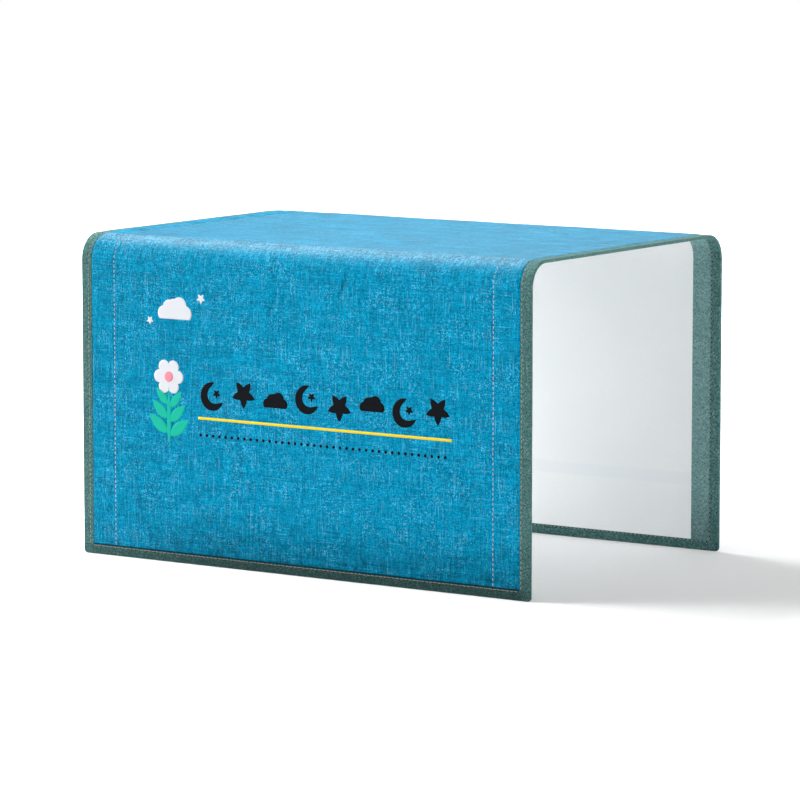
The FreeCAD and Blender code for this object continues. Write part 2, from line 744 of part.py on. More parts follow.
def driver_board():
    """The board that feeds the lights, with its coils and capacitors underneath."""
    low = DRIVER_TOP - PCB_T
    half = DRIVER_W / 2
    board = box(DRIVER_X0, DRIVER_X0 + DRIVER_L, -half, half, low, DRIVER_TOP - LAYER_GAP)
    middle = DRIVER_X0 + DRIVER_L / 2
    parts = [board]
    for radius, y in ((COIL_R, COIL_Y), (CAPACITOR_R, CAPACITOR_Y)):
        for at in (-y, y):
            parts.append(rod(radius, V(middle, at, low - COIL_H), V(middle, at, low)))
    return fuse(parts)


def control_board():
    y = CASE_W / 2 - CASE_T - PCB_PLAY
    low, high = CASE_BOTTOM + CASE_T + PCB_PLAY, CASE_TOP - PCB_PLAY
    board = box(PCB_FACE, PCB_FACE + PCB_T, -y, y, low, high)
    half = INLET_BODY / 2 + PCB_PLAY
    notch = box(PCB_FACE, PCB_FACE + PCB_T, INLET_Y - half, INLET_Y + half,
                CONTROL_Z - half, CONTROL_Z + half)
    return board.cut(notch)


def button_switches():
    switches = []
    for y, radius in buttons().values():
        half = SWITCH / 2
        front = PCB_FACE - LAYER_GAP - SWITCH_T
        body = box(front, PCB_FACE - LAYER_GAP, y - half, y + half, CONTROL_Z - half, CONTROL_Z + half)
        plunger = rod(PLUNGER_R, V(front - PLUNGER_T, y, CONTROL_Z), V(front, y, CONTROL_Z))
        switches.append(body.fuse(plunger))
    return Part.makeCompound(switches)


def button(y, radius):
    """A cap that stands out of the face, a flange behind the wall, and a stem to its switch."""
    face = CASE_FACE - BUTTON_PROUD
    back = CASE_FACE + CASE_T + BUTTON_STOP_PLAY
    flange_end = back + BUTTON_FLANGE_T
    stem_end = PCB_FACE - LAYER_GAP - SWITCH_T - PLUNGER_T - SWITCH_PLAY - BUTTON_TRAVEL
    cap = rod(radius, V(face, y, CONTROL_Z), V(flange_end, y, CONTROL_Z))
    rim = [e for e in cap.Edges if abs(e.BoundBox.XMax - face) < 1e-6]
    cap = cap.makeFillet(BUTTON_EDGE_R, rim)
    flange = rod(radius + BUTTON_FLANGE_LEDGE, V(back, y, CONTROL_Z), V(flange_end, y, CONTROL_Z))
    stem = rod(BUTTON_STEM_R, V(back, y, CONTROL_Z), V(stem_end, y, CONTROL_Z))
    return fuse([cap, flange, stem])


def display_module():
    half_w, half_h = DISPLAY_W / 2, DISPLAY_H / 2
    front = CASE_FACE + CASE_T + LAYER_GAP + WINDOW_T + LAYER_GAP
    return box(front, PCB_FACE - LAYER_GAP, DISPLAY_Y - half_w, DISPLAY_Y + half_w,
               CONTROL_Z - half_h, CONTROL_Z + half_h)


def display_window():
    """A clear window that fills the opening flush with the face, with a ledge behind the wall."""
    half_w, half_h = DISPLAY_W / 2, DISPLAY_H / 2
    back = CASE_FACE + CASE_T + LAYER_GAP
    pane = box(CASE_FACE, back + WINDOW_T, DISPLAY_Y - half_w, DISPLAY_Y + half_w,
               CONTROL_Z - half_h, CONTROL_Z + half_h)
    wide, tall = half_w + WINDOW_LEDGE, half_h + WINDOW_LEDGE
    ledge = box(back, back + WINDOW_T, DISPLAY_Y - wide, DISPLAY_Y + wide,
                CONTROL_Z - tall, CONTROL_Z + tall)
    return fuse([pane, ledge])


def indicator_lens():
    """A light pipe from the board to a small dome in the face."""
    tip = CASE_FACE - INDICATOR_PROUD
    pipe = rod(INDICATOR_R, V(tip, INDICATOR_Y, CONTROL_Z), V(PCB_FACE - LAYER_GAP, INDICATOR_Y, CONTROL_Z))
    rim = [e for e in pipe.Edges if abs(e.BoundBox.XMax - tip) < 1e-6]
    return pipe.makeFillet(INDICATOR_DOME_R, rim)


def dc_inlet():
    """A round power inlet with a centre pin, its snout in the face's hole."""
    half = INLET_BODY / 2
    wall = CASE_FACE + CASE_T + LAYER_GAP
    end = CASE_FACE + INLET_L
    body = box(wall, end, INLET_Y - half, INLET_Y + half, CONTROL_Z - half, CONTROL_Z + half)
    snout = rod(INLET_SNOUT_R, V(CASE_FACE, INLET_Y, CONTROL_Z), V(wall, INLET_Y, CONTROL_Z))
    bore_end = CASE_FACE + INLET_BORE_L
    bore = rod(INLET_BORE_R, V(CASE_FACE, INLET_Y, CONTROL_Z), V(bore_end, INLET_Y, CONTROL_Z))
    pin_tip = CASE_FACE + INLET_PIN_BELOW_FACE
    pin = rod(INLET_PIN_R, V(pin_tip, INLET_Y, CONTROL_Z), V(bore_end, INLET_Y, CONTROL_Z))
    return body.fuse(snout).cut(bore).fuse(pin)


def panel_nodes(prefix, side):
    return {
        prefix + "_cover": upright_cover(side),
        prefix + "_core_board": upright_board(side),
        prefix + "_liner": upright_liner(side),
        prefix + "_facings": upright_facings(side),
        prefix + "_binding": upright_binding(side),
        prefix + "_legs": legs(side),
        prefix + "_led_strip": led_strip(side),
        prefix + "_strip_leds": strip_leds(side),
        prefix + "_led_cable": led_cable(side),
        prefix + "_fold_cover": fold_cover(side),
        prefix + "_fold_liner": fold_liner(side),
        prefix + "_fold_facings": fold_facings(side),
        prefix + "_fold_bindings": fold_bindings(side),
    }


def top_nodes():
    return {
        "top_cover": top_cover(),
        "top_core_board": top_core_board(),
        "corner_former_front": corner_former(FRONT),
        "corner_former_rear": corner_former(REAR),
        "top_liner": top_liner(),
        "top_facings": top_facings(),
        "top_bindings": top_bindings(),
        "top_rails": top_rails(),
        "front_hinge_pins": hinge_pins(FRONT),
        "rear_hinge_pins": hinge_pins(REAR),
    }


def lamp_nodes():
    nodes = {
        "light_housing": light_housing(),
        "led_packages": led_packages(),
        "light_diffuser": light_diffuser(),
        "light_bezel": light_bezel(),
        "housing_screws": hung_screws(housing_screw_places(), HOUSING_SCREW_L),
        "bezel_screws": bezel_screws(),
        "light_harness": light_harness(),
    }
    for index in range(LED_BOARDS):
        nodes["led_board_%d" % (index + 1)] = led_board(index)
    return nodes


def control_nodes():
    nodes = {
        "control_case": control_case(),
        "control_backplate": control_backplate(),
        "control_board": control_board(),
        "driver_board": driver_board(),
        "display_module": display_module(),
        "display_window": display_window(),
        "indicator_lens": indicator_lens(),
        "button_switches": button_switches(),
        "dc_inlet": dc_inlet(),
        "control_screws": hung_screws(control_screw_places(), CONTROL_SCREW_L),
    }
    for name, (y, radius) in buttons().items():
        nodes[name] = button(y, radius)
    return nodes


def main():
    os.makedirs("parts", exist_ok=True)
    nodes = {}
    nodes.update(top_nodes())
    nodes.update(lamp_nodes())
    nodes.update(control_nodes())
    nodes.update(panel_nodes("front", FRONT))
    nodes.update(panel_nodes("rear", REAR))
    for name, shape in nodes.items():
        shape.exportStep("parts/%s.step" % name)
        facts = (name, len(shape.Solids), shape.Volume, shape.isValid())
        print("%-22s %3d solids %10.1f mm3 valid %s" % facts)
    print(len(nodes), "nodes")


main()
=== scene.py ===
import json
import math
from functools import partialmethod

import bmesh
import bpy
import numpy as np
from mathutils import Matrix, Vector


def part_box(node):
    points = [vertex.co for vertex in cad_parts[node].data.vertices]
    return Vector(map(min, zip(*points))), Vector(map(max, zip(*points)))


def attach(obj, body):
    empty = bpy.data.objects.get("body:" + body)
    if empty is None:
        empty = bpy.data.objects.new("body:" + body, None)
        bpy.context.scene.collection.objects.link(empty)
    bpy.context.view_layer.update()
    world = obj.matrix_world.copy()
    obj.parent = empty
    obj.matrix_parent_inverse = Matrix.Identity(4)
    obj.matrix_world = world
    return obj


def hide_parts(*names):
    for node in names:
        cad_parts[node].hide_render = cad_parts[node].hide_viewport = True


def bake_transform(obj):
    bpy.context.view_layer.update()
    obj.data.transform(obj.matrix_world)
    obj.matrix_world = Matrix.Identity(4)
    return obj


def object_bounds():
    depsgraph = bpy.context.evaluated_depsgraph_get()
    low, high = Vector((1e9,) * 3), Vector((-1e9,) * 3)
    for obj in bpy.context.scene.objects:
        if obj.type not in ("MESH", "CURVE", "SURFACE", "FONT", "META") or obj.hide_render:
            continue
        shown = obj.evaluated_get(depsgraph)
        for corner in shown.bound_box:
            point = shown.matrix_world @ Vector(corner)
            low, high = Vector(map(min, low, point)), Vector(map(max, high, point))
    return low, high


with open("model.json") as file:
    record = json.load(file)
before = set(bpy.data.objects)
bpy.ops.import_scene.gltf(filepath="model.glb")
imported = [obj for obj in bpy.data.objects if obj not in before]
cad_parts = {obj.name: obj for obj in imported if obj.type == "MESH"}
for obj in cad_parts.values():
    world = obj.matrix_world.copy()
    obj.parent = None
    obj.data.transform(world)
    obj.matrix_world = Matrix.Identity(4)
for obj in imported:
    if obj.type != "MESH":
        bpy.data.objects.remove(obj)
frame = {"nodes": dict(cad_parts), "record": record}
cad_low, cad_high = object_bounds()

# Millimetres in this script, metres in the scene. A place on the cloth is x along the tunnel, `up`
# along the outside of a half section from the floor to the top's middle line, and `depth` in from
# the outside. The front half faces -Y and the rear half +Y.

MM = 0.001
FRONT, REAR = -1, 1
HALVES = {FRONT: "front", REAR: "rear"}
ENDS = {-1: "left", 1: "right"}

# Outline of the wall, from the frame's own box
HALF_W, HALF_D, HEIGHT = (value / MM for value in cad_high)
SHOULDER_R = 27.0
LEG = HEIGHT - SHOULDER_R
BEND = SHOULDER_R * math.pi / 2
HALF_TOP = HALF_D - SHOULDER_R
HALF_SECTION = LEG + BEND + HALF_TOP
WALL_T = 3.4
MIDDLE = WALL_T / 2
FOLD_UP = {FRONT: 310.0, REAR: 304.0}
FOLD_REACH = 4.5
FOLD_STEP = 0.75
MIDDLE_STEPS = (0.9, 0.3)
CRISP = math.radians(60)

# Bound edges
SIDE_BAND = 13.0
FOOT_BAND = 10.2
TAPE_T = 0.35
CORNER_R = 4.0
CORNER_MIN_R = 0.6
CORNER_STEPS = 8

# Cloth layers
CLOTH_T = 0.35
FILM_T = 0.3
COVER_DEPTH = 0.4
COVER_REACH = 274.0
COVER_LOW = 4.0
FILM_DEPTH = 2.95
FILM_REACH = 249.0
FACING_EDGE = 246.0
FACING_DEPTH = 3.2
FACING_UNDER_TAPE = 3.02
FACING_REACH = 277.0

# Topstitching
STITCH_PITCH = 5.07
STITCH_L = 3.4
FOOT_STITCH_L = 4.6
THREAD_R = 0.37
COVER_SEAM = {-1: 237.0, 1: 235.8}
TAPE_SEAM = {-1: 8.8, 1: 11.2}
FOOT_SEAM = 9.1
INNER_SEAM = 11.0
INNER_NARROWER = 0.92
INNER_FOOT_WIDER = 1.16

# Light strip behind the film
STRIP_LOW, STRIP_HIGH = 69.0, 82.0
STRIP_HALF_W = 226.0


# Meshes

def section(up, depth):
    """Distance from the middle plane and height of points on a half section."""
    turn = np.clip((up - LEG) / SHOULDER_R, 0, math.pi / 2)
    over = np.clip(up - LEG - BEND, 0, None)
    reach = SHOULDER_R - depth
    return HALF_TOP - over + reach * np.cos(turn), np.minimum(up, LEG) + reach * np.sin(turn)


def wall(side, x, up, depth):
    """Scene points for places on one half of the cloth."""
    x, up, depth = np.broadcast_arrays(x, up, depth)
    out, height = section(up, depth)
    return np.stack([x, side * out, height], axis=-1) * MM


def unrolled(side, x, up, depth):
    """The same places on the cloth laid flat, which its weave follows."""
    x, up, depth = np.broadcast_arrays(x, up, depth)
    return np.stack([x, side * (up - HALF_SECTION), depth], axis=-1)


def grid_faces(rows, columns, flip=False, closed=False):
    """Quads of a grid of points, numbered row by row."""
    last = columns if closed else columns - 1
    quads = [(i * columns + j, (i + 1) * columns + j, (i + 1) * columns + (j + 1) % columns,
              i * columns + (j + 1) % columns) for i in range(rows - 1) for j in range(last)]
    return [quad[::-1] for quad in quads] if flip else quads


def new_object(name, points, faces, material, flat=None):
    mesh = bpy.data.meshes.new(name)
    mesh.from_pydata(np.reshape(points, (-1, 3)).tolist(), [], faces)
    mesh.validate()
    mesh.polygons.foreach_set("use_smooth", [True] * len(mesh.polygons))
    if flat is not None:
        attribute = mesh.attributes.new("cloth", "FLOAT_VECTOR", "POINT")
        attribute.data.foreach_set("vector", np.reshape(flat, -1).astype(np.float32))
    mesh.materials.append(material)
    mesh.update()
    piece = bpy.data.objects.new(name, mesh)
    bpy.context.scene.collection.objects.link(piece)
    return piece


def shell(name, face, back, material, flat, flip=False):
    """A closed sheet between two grids of points, with crisp cut edges."""
    rows, columns = face.shape[:2]
    count = rows * columns
    quads = grid_faces(rows, columns, flip)
    faces = quads + [tuple(count + i for i in quad[::-1]) for quad in quads]
    grid = np.arange(count).reshape(rows, columns)
    border = np.concatenate([grid[:, 0], grid[-1, 1:], grid[-2::-1, -1], grid[0, -2:0:-1]]).tolist()
    for a, b in zip(border, border[1:] + border[:1]):
        rim = (b, a, a + count, b + count)
        faces.append(rim[::-1] if flip else rim)
    piece = new_object(name, np.concatenate([face.reshape(-1, 3), back.reshape(-1, 3)]), faces, material,
                       np.concatenate([flat.reshape(-1, 3)] * 2))
    piece.data.polygons.foreach_set("use_smooth", np.arange(len(faces)) < 2 * len(quads))
    piece.data.set_sharp_from_angle(angle=CRISP)
    return piece


def cloth_layer(name, side, x, up, depth, thickness, material, inward=False, flip=None):
    """A layer of cloth over a grid of places, with its face outward or inward."""
    back = depth - thickness if inward else depth + thickness
    flip = (side == REAR) != inward if flip is None else flip
    return shell(name, wall(side, x, up, depth), wall(side, x, up, back), material,
                 unrolled(side, x, up, depth), flip)


def thicken(piece, thickness, offset=-1.0):
    solid = piece.modifiers.new("thickness", "SOLIDIFY")
    solid.thickness = thickness * MM
    solid.offset = offset


def up_rows(side, low, pitch):
    """Rows of a cloth grid: even, but closer together across the fold and at the top's middle line."""
    fold = FOLD_UP[side]
    even = np.append(np.arange(low, HALF_SECTION - pitch / 2, pitch), HALF_SECTION)
    even = even[np.abs(even - fold) > FOLD_REACH + FOLD_STEP]
    close = np.arange(fold - FOLD_REACH, fold + FOLD_REACH + FOLD_STEP / 2, FOLD_STEP)
    return np.sort(np.concatenate([even, close, HALF_SECTION - np.array(MIDDLE_STEPS)]))


def mirrored(values):
    """Columns on both sides of the middle from those on one side."""
    values = np.asarray(values)
    return np.concatenate([-values[values > 0][::-1], values])


def smooth_step(value, low, high):
    t = np.clip((value - low) / (high - low), 0, 1)
    return t * t * (3 - 2 * t)


def window(value, low, high, edge):
    """1 between two limits and 0 outside them, with soft edges."""
    return smooth_step(value, low - edge, low + edge) * (1 - smooth_step(value, high - edge, high + edge))


def lumps(u, v, cell_u, cell_v, seed):
    """Smooth random heights from -1 to 1, one to each cell."""
    table = np.random.default_rng(seed).uniform(-1, 1, (256, 256))
    a, b = u / cell_u + 0.37 * seed, v / cell_v + 0.61 * seed
    i, j = np.floor(a).astype(int), np.floor(b).astype(int)
    s, t = smooth_step(a - i, 0, 1), smooth_step(b - j, 0, 1)
    near, far = (table[k % 256, j % 256] * (1 - t) + table[k % 256, (j + 1) % 256] * t for k in (i, i + 1))
    return near * (1 - s) + far * s


def waves(x, v, *kinds):
    """Soft random waves. Each kind is a height, a length along x, a length along v and a seed."""
    return sum(height * lumps(x, v, *kind) for height, *kind in kinds)


def bend_and_place(piece):
    """Bakes a piece's transform into its mesh."""
    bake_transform(piece)


# Blue cover

# Short creases in the front: x, up, half length, half width, rise, slant
CREASES = (
    (54.0, 303.0, 14.0, 2.4, -0.64, 0.38),
    (61.0, 299.0, 16.0, 4.0, 0.40, 0.34),
    (-33.0, 280.0, 12.0, 2.4, -0.56, 0.42),
    (-26.0, 278.0, 13.0, 4.0, 0.30, 0.38),
    (-70.0, 350.0, 12.0, 2.5, -0.44, 0.55),
    (118.0, 262.0, 10.0, 2.6, -0.26, -0.30),
    (-150.0, 300.0, 11.0, 2.6, -0.22, 0.15),
    (12.0, 34.0, 12.0, 2.4, -0.26, -0.55),
    (-8.0, 48.0, 10.0, 2.2, -0.20, 0.50),
    (60.0, 52.0, 14.0, 2.6, -0.18, 0.20),
)
CREASE_SCALE = 1.8
# Painted shade in the creases: the crease depth that counts as full shade, and how much darker it is painted
CREASE_FULL = 0.6
CREASE_SHADE = 0.34

# How far the cloth stands out, with waves all over, on the top and at the bend
FULLNESS = 0.85
COVER_LOWEST = -0.3
LEFT_RISE = 0.7
LEFT_FOLD = 0.9
COVER_WAVES = ((0.22, 74, 52, 1), (0.10, 23, 15, 2))
TOP_WAVES = ((0.26, 130, 13, 3), (0.12, 50, 7, 9))
END_PUCKER = (0.20, 3.4, 46, 4)
BEND_PUCKER = (0.08, 4.6, 30, 5)
SEAM_PUCKER = (0.12, 8, STITCH_PITCH, 6)
SEAM_GROOVE = 0.38


def crease(x, up, centre, height, half_l, half_w, amount, slant):
    across = (x - centre) - slant * (up - height)
    along = (up - height) / half_l
    return amount * np.exp(-(across / half_w) ** 2) * np.exp(-along ** 4)


def crease_shade_share(x, up):
    """How much painted shade the cloth gets in a crease, from how deep in it the cloth is, 0 to about 1."""
    return sum(-crease(x, up, *place) / CREASE_FULL for place in CREASES if place[4] < 0)


def cover_relief(side, x, up):
    """How far the blue cloth stands out from its wall."""
    end, v = np.abs(x), side * (up - HALF_SECTION)
    relief = waves(x, v, *COVER_WAVES)
    on_top = smooth_step(up, LEG + BEND, LEG + BEND + 20)
    relief += on_top * waves(x, v, *TOP_WAVES)
    bend = window(up, LEG + 2, LEG + BEND + 6, 8)
    relief += waves(x, v, END_PUCKER) * bend * window(end, 243, 266, 4)
    relief += LEFT_FOLD * on_top * window(x, -264, -243, 6)
    relief += LEFT_RISE * on_top * (1 - smooth_step(x, -260, 220))
    relief += waves(x, v, BEND_PUCKER) * bend
    seam = np.abs(end - np.where(x < 0, COVER_SEAM[-1], COVER_SEAM[1]))
    hold = 0.75 + 0.25 * np.cos(2 * math.pi * up / STITCH_PITCH)
    relief -= SEAM_GROOVE * np.exp(-(seam / 1.3) ** 2) * hold
    relief += waves(x, v, SEAM_PUCKER) * np.exp(-(seam / 7) ** 2)
    if side == FRONT:
        for place in CREASES:
            relief += CREASE_SCALE * crease(x, up, *place)
    tape = smooth_step(end, HALF_W - SIDE_BAND - 3, HALF_W - SIDE_BAND + 1)
    foot = 1 - smooth_step(up, FOOT_BAND - 1, FOOT_BAND + 3)
    held = np.maximum(tape, foot)
    return np.maximum(relief + FULLNESS, COVER_LOWEST) * (1 - held) + COVER_LOWEST * held


def add_cover(side, material):
    half = [np.arange(0, 230, 2.5), np.arange(230, 245, 0.75), np.arange(245, COVER_REACH, 1.05)]
    x, up = np.meshgrid(mirrored(np.concatenate(half)), up_rows(side, COVER_LOW, STITCH_PITCH / 2),
                        indexing="ij")
    name = HALVES[side]
    cover = cloth_layer("cover_" + name, side, x, up, COVER_DEPTH - cover_relief(side, x, up), CLOTH_T,
                        material)
    if side == FRONT:
        # Painted shade of the creases, kept on the cloth for its material
        depths = np.tile(crease_shade_share(x, up).reshape(-1), 2).astype(np.float32)
        cover.data.attributes.new("crease", "FLOAT", "POINT").data.foreach_set("value", depths)
    bend_and_place(cover)
    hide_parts("top_cover", name + "_cover", name + "_fold_cover")


# Binding tape: folded over the edge of a half, down one side, along the foot and up the other

EDGE_TURN = ((1.2, 0.0), (0.55, 0.06), (0.18, 0.26), (0.0, 0.7), (-0.06, 1.7))
TAPE_WAVES = ((0.09, 17, 17, 13), (0.06, 5, 5, 14))
TAPE_GROOVE = 0.20


def tape_profile():
    """Distance in from the edge, and depth, across the tape from its outer border to its inner one."""
    flap = [(13.0, 0.30), (12.93, 0.12), (12.6, 0.02)]
    flap += [(t, -0.10 * math.sin(math.pi * (12.6 - t) / 11)) for t in np.arange(12.0, 2.0, -0.7)]
    outer = flap + list(EDGE_TURN)
    inner = [(t * INNER_NARROWER, WALL_T - depth) for t, depth in outer[-2::-1]]
    return np.array(outer + inner)


def inside_of(profile):
    """The same line moved in by the tape's thickness."""
    run = np.gradient(profile, axis=0)
    run = run / np.linalg.norm(run, axis=1)[:, None]
    return profile + TAPE_T * np.stack([run[:, 1], -run[:, 0]], axis=1)


def tape_grid(side, profile):
    """x and up for each station along the tape and each point across it."""
    t = profile[:, 0]
    foot = t * FOOT_BAND / SIDE_BAND * np.where(profile[:, 1] > MIDDLE, INNER_FOOT_WIDER, 1.0)
    radius = np.maximum(CORNER_R - t, CORNER_MIN_R)
    sides = up_rows(side, SIDE_BAND + 3, 3.0)[::-1]
    lines = [(HALF_W - t, np.full_like(t, up)) for up in sides]
    for turn in np.linspace(0, math.pi / 2, CORNER_STEPS + 1):
        lines.append((HALF_W - t - radius * (1 - math.cos(turn)), foot + radius * (1 - math.sin(turn))))
    foot_x = np.arange(0, HALF_W - SIDE_BAND - 3, 4.0)
    right = lines + [(np.full_like(t, x), foot) for x in foot_x[:0:-1]]
    left = [(-x, up) for x, up in right[::-1]]
    lines = right + [(np.zeros_like(t), foot)] + left
    return np.array([x for x, _ in lines]), np.array([up for _, up in lines])


def edge_wave(side, x, up):
    """The binding's edge is not quite straight: how far it draws in, always inward."""
    v = side * (up - HALF_SECTION)
    return 0.10 * (1 + lumps(x, v, 26, 26, 11)) + 0.05 * (1 + lumps(x, v, 9, 9, 12))


def tape_depth(side, x, up, t, depth):
    """Depth of the tape's outer face, with the grooves that its stitching pulls."""
    v = side * (up - HALF_SECTION)
    rise = waves(x, v, *TAPE_WAVES)
    rise = rise + LEFT_RISE * smooth_step(up, LEG + BEND, LEG + BEND + 20) * (x < 0) * (depth < MIDDLE)
    foot_share = 1 - smooth_step(up, FOOT_BAND - 2, FOOT_BAND + 3)
    seam = np.where(x < 0, TAPE_SEAM[-1], TAPE_SEAM[1])
    seam = seam * (1 - foot_share) + FOOT_SEAM * SIDE_BAND / FOOT_BAND * foot_share
    seam = np.where(depth < MIDDLE, seam, INNER_SEAM)
    groove = TAPE_GROOVE * np.exp(-((t - seam) / 0.8) ** 2)
    inward = np.where(depth < MIDDLE, 1, -1)
    return depth + inward * (groove - rise) * smooth_step(t, 1, 3)


def tape_points(side, profile):
    """Scene points of the tape over one line across it, and the same places on the flat cloth."""
    x, up = tape_grid(side, profile)
    t = np.broadcast_to(profile[:, 0], x.shape)
    depth = tape_depth(side, x, up, t, np.broadcast_to(profile[:, 1], x.shape))
    draw = edge_wave(side, x, up) * (1 - smooth_step(t, 0, 9))
    on_foot = np.abs(x) < HALF_W - SIDE_BAND
    moved_x = np.where(on_foot & (up < SIDE_BAND), x, x - np.sign(x) * draw)
    moved_up = np.where(up < FOOT_BAND, up + draw, up)
    return wall(side, moved_x, moved_up, depth), unrolled(side, x, up, depth * 3)


def add_tape(side, material):
    profile = tape_profile()
    face, flat = tape_points(side, profile)
    back, _ = tape_points(side, inside_of(profile))
    tape = shell("binding_" + HALVES[side], face, back, material, flat, flip=side == REAR)
    bend_and_place(tape)
    name = HALVES[side]
    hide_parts("top_bindings", name + "_binding", name + "_fold_bindings")


# White film and the facings at its ends

FILM_WAVES = ((0.05, 110, 90, 21), (0.012, 34, 30, 22))
STRIP_RISE = 0.10
FACING_WAVE = (0.06, 21, 21, 31)
FACING_TURN_IN = 0.22


def film_relief(side, x, up):
    """How far the film stands out into the tunnel: it is smooth, but shows the light strip behind it."""
    v = side * (up - HALF_SECTION)
    strip = window(up, STRIP_LOW, STRIP_HIGH, 1.6) * window(np.abs(x), -1, STRIP_HALF_W, 3)
    return waves(x, v, *FILM_WAVES) + STRIP_RISE * strip


def add_film(side, material):
    low = [np.arange(COVER_LOW, STRIP_LOW - 3, 6.0), np.arange(STRIP_LOW - 3, STRIP_HIGH + 3.1, 0.8)]
    rows = up_rows(side, STRIP_HIGH + 6, 5.0)
    x, up = np.meshgrid(mirrored(np.arange(0, FILM_REACH + 1, 6.0)), np.concatenate(low + [rows]),
                        indexing="ij")
    film = cloth_layer("film_" + HALVES[side], side, x, up, FILM_DEPTH + film_relief(side, x, up),
                       FILM_T, material, inward=True)
    bend_and_place(film)
    name = HALVES[side]
    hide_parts("top_liner", name + "_liner", name + "_fold_liner")


def add_facing(side, end, material):
    steps = np.concatenate([[0.0, 0.12, 0.45, 1.0, 2.0], np.arange(4.0, FACING_REACH - FACING_EDGE, 2.5)])
    x, up = np.meshgrid(end * (FACING_EDGE + steps), up_rows(side, COVER_LOW, 4.0), indexing="ij")
    inset = np.abs(x) - FACING_EDGE
    v = side * (up - HALF_SECTION)
    depth = FACING_DEPTH - FACING_TURN_IN * np.exp(-inset / 0.25)
    depth = depth - (FACING_DEPTH - FACING_UNDER_TAPE) * smooth_step(inset, 14, 19)
    depth = depth + waves(x, v, FACING_WAVE) * smooth_step(inset, 0, 3)
    half = HALVES[side]
    facing = cloth_layer("facing_%s_%s" % (half, ENDS[end]), side, x, up, depth, CLOTH_T, material,
                         inward=True, flip=(side == FRONT) == (end > 0))
    bend_and_place(facing)
    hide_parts("top_facings", half + "_facings", half + "_fold_facings")


# Topstitching: each stitch is a short thread that rises from one needle hole and dives into the next

RING = 6
THREAD_STEPS = np.array([-1.0, -0.82, -0.45, 0.0, 0.45, 0.82, 1.0])
THREAD_ARCH = 0.24
THREAD_SUNK = 0.16
STITCH_SLANT = 0.10
OUTER_HOLE, INNER_HOLE = 0.26, 0.66
SIDE_WANDER, FOOT_WANDER = 0.12, 0.10
TAPE_FACE, INNER_FACE = 0.08, WALL_T - 0.02


def thread_shape(length):
    """Along, across and outward offsets of one stitch, and its faces."""
    along, across, out = [], [], []
    for t in THREAD_STEPS:
        thick = THREAD_R * (0.35 + 0.65 * math.sqrt(1 - t * t))
        rise = THREAD_ARCH * (1 - t ** 4) - THREAD_SUNK
        for k in range(RING):
            angle = 2 * math.pi * (k + 0.5) / RING
            along.append(t * length / 2)
            across.append(thick * math.cos(angle))
            out.append(rise + thick * 0.8 * math.sin(angle))
    steps = len(THREAD_STEPS)
    faces = grid_faces(steps, RING, closed=True)
    faces += [tuple(range(RING)), tuple(range((steps - 1) * RING, steps * RING))[::-1]]
    return np.array(along), np.array(across), np.array(out), faces


def hole_shape(size):
    """A needle hole: a small, shallow hollow at a stitch's end, painted dark for the shade in it."""
    along, across, out = [0.0], [0.0], [-0.02]
    for k in range(RING):
        angle = 2 * math.pi * k / RING
        along.append(1.2 * size * math.cos(angle))
        across.append(size * math.sin(angle))
        out.append(0.04)
    faces = [(0, 1 + k, 1 + (k + 1) % RING) for k in range(RING)]
    return np.array(along), np.array(across), np.array(out), faces


def seam_places(low, high):
    count = int((high - low) / STITCH_PITCH)
    return low + STITCH_PITCH * (np.arange(count) + 0.5)


def seam_stitches(depth_at, low, sides, foot, rng):
    """Stitches up the wall at each x of `sides` and, given its height, along the foot. Each is x, up,
    depth and whether it lies along x."""
    stitches = []
    for middle in sides:
        up = seam_places(low, HALF_SECTION)
        x = middle + rng.uniform(-SIDE_WANDER, SIDE_WANDER, len(up))
        stitches += [(a, b, depth_at(a, b), False) for a, b in zip(x, up)]
    if foot:
        x = seam_places(SIDE_BAND - HALF_W, HALF_W - SIDE_BAND)
        up = foot + rng.uniform(-FOOT_WANDER, FOOT_WANDER, len(x))
        stitches += [(a, b, depth_at(a, b), True) for a, b in zip(x, up)]
    return stitches


def sew(name, side, stitches, shape, material, inward, rng, shift=0.0):
    """One mesh of the same small shape at every stitch."""
    along, across, out, faces = shape
    xs, ups, depths, all_faces = [], [], [], []
    for index, (x, up, depth, level) in enumerate(stitches):
        slant = rng.uniform(-STITCH_SLANT, STITCH_SLANT)
        a, b = along + shift, across + slant * along
        xs.append(x + (a if level else b))
        ups.append(up + (b if level else a))
        depths.append(depth + out if inward else depth - out)
        first = index * len(along)
        all_faces += [tuple(first + i for i in face) for face in faces]
    x, up, depth = (np.concatenate(values) for values in (xs, ups, depths))
    up = np.minimum(up, HALF_SECTION)
    piece = new_object(name, wall(side, x, up, depth), all_faces, material, unrolled(side, x, up, depth))
    outward_normals(piece)
    return piece


def outward_normals(piece):
    """Turns each loose shell's faces outward."""
    mesh = bmesh.new()
    mesh.from_mesh(piece.data)
    bmesh.ops.recalc_face_normals(mesh, faces=mesh.faces)
    mesh.to_mesh(piece.data)
    mesh.free()


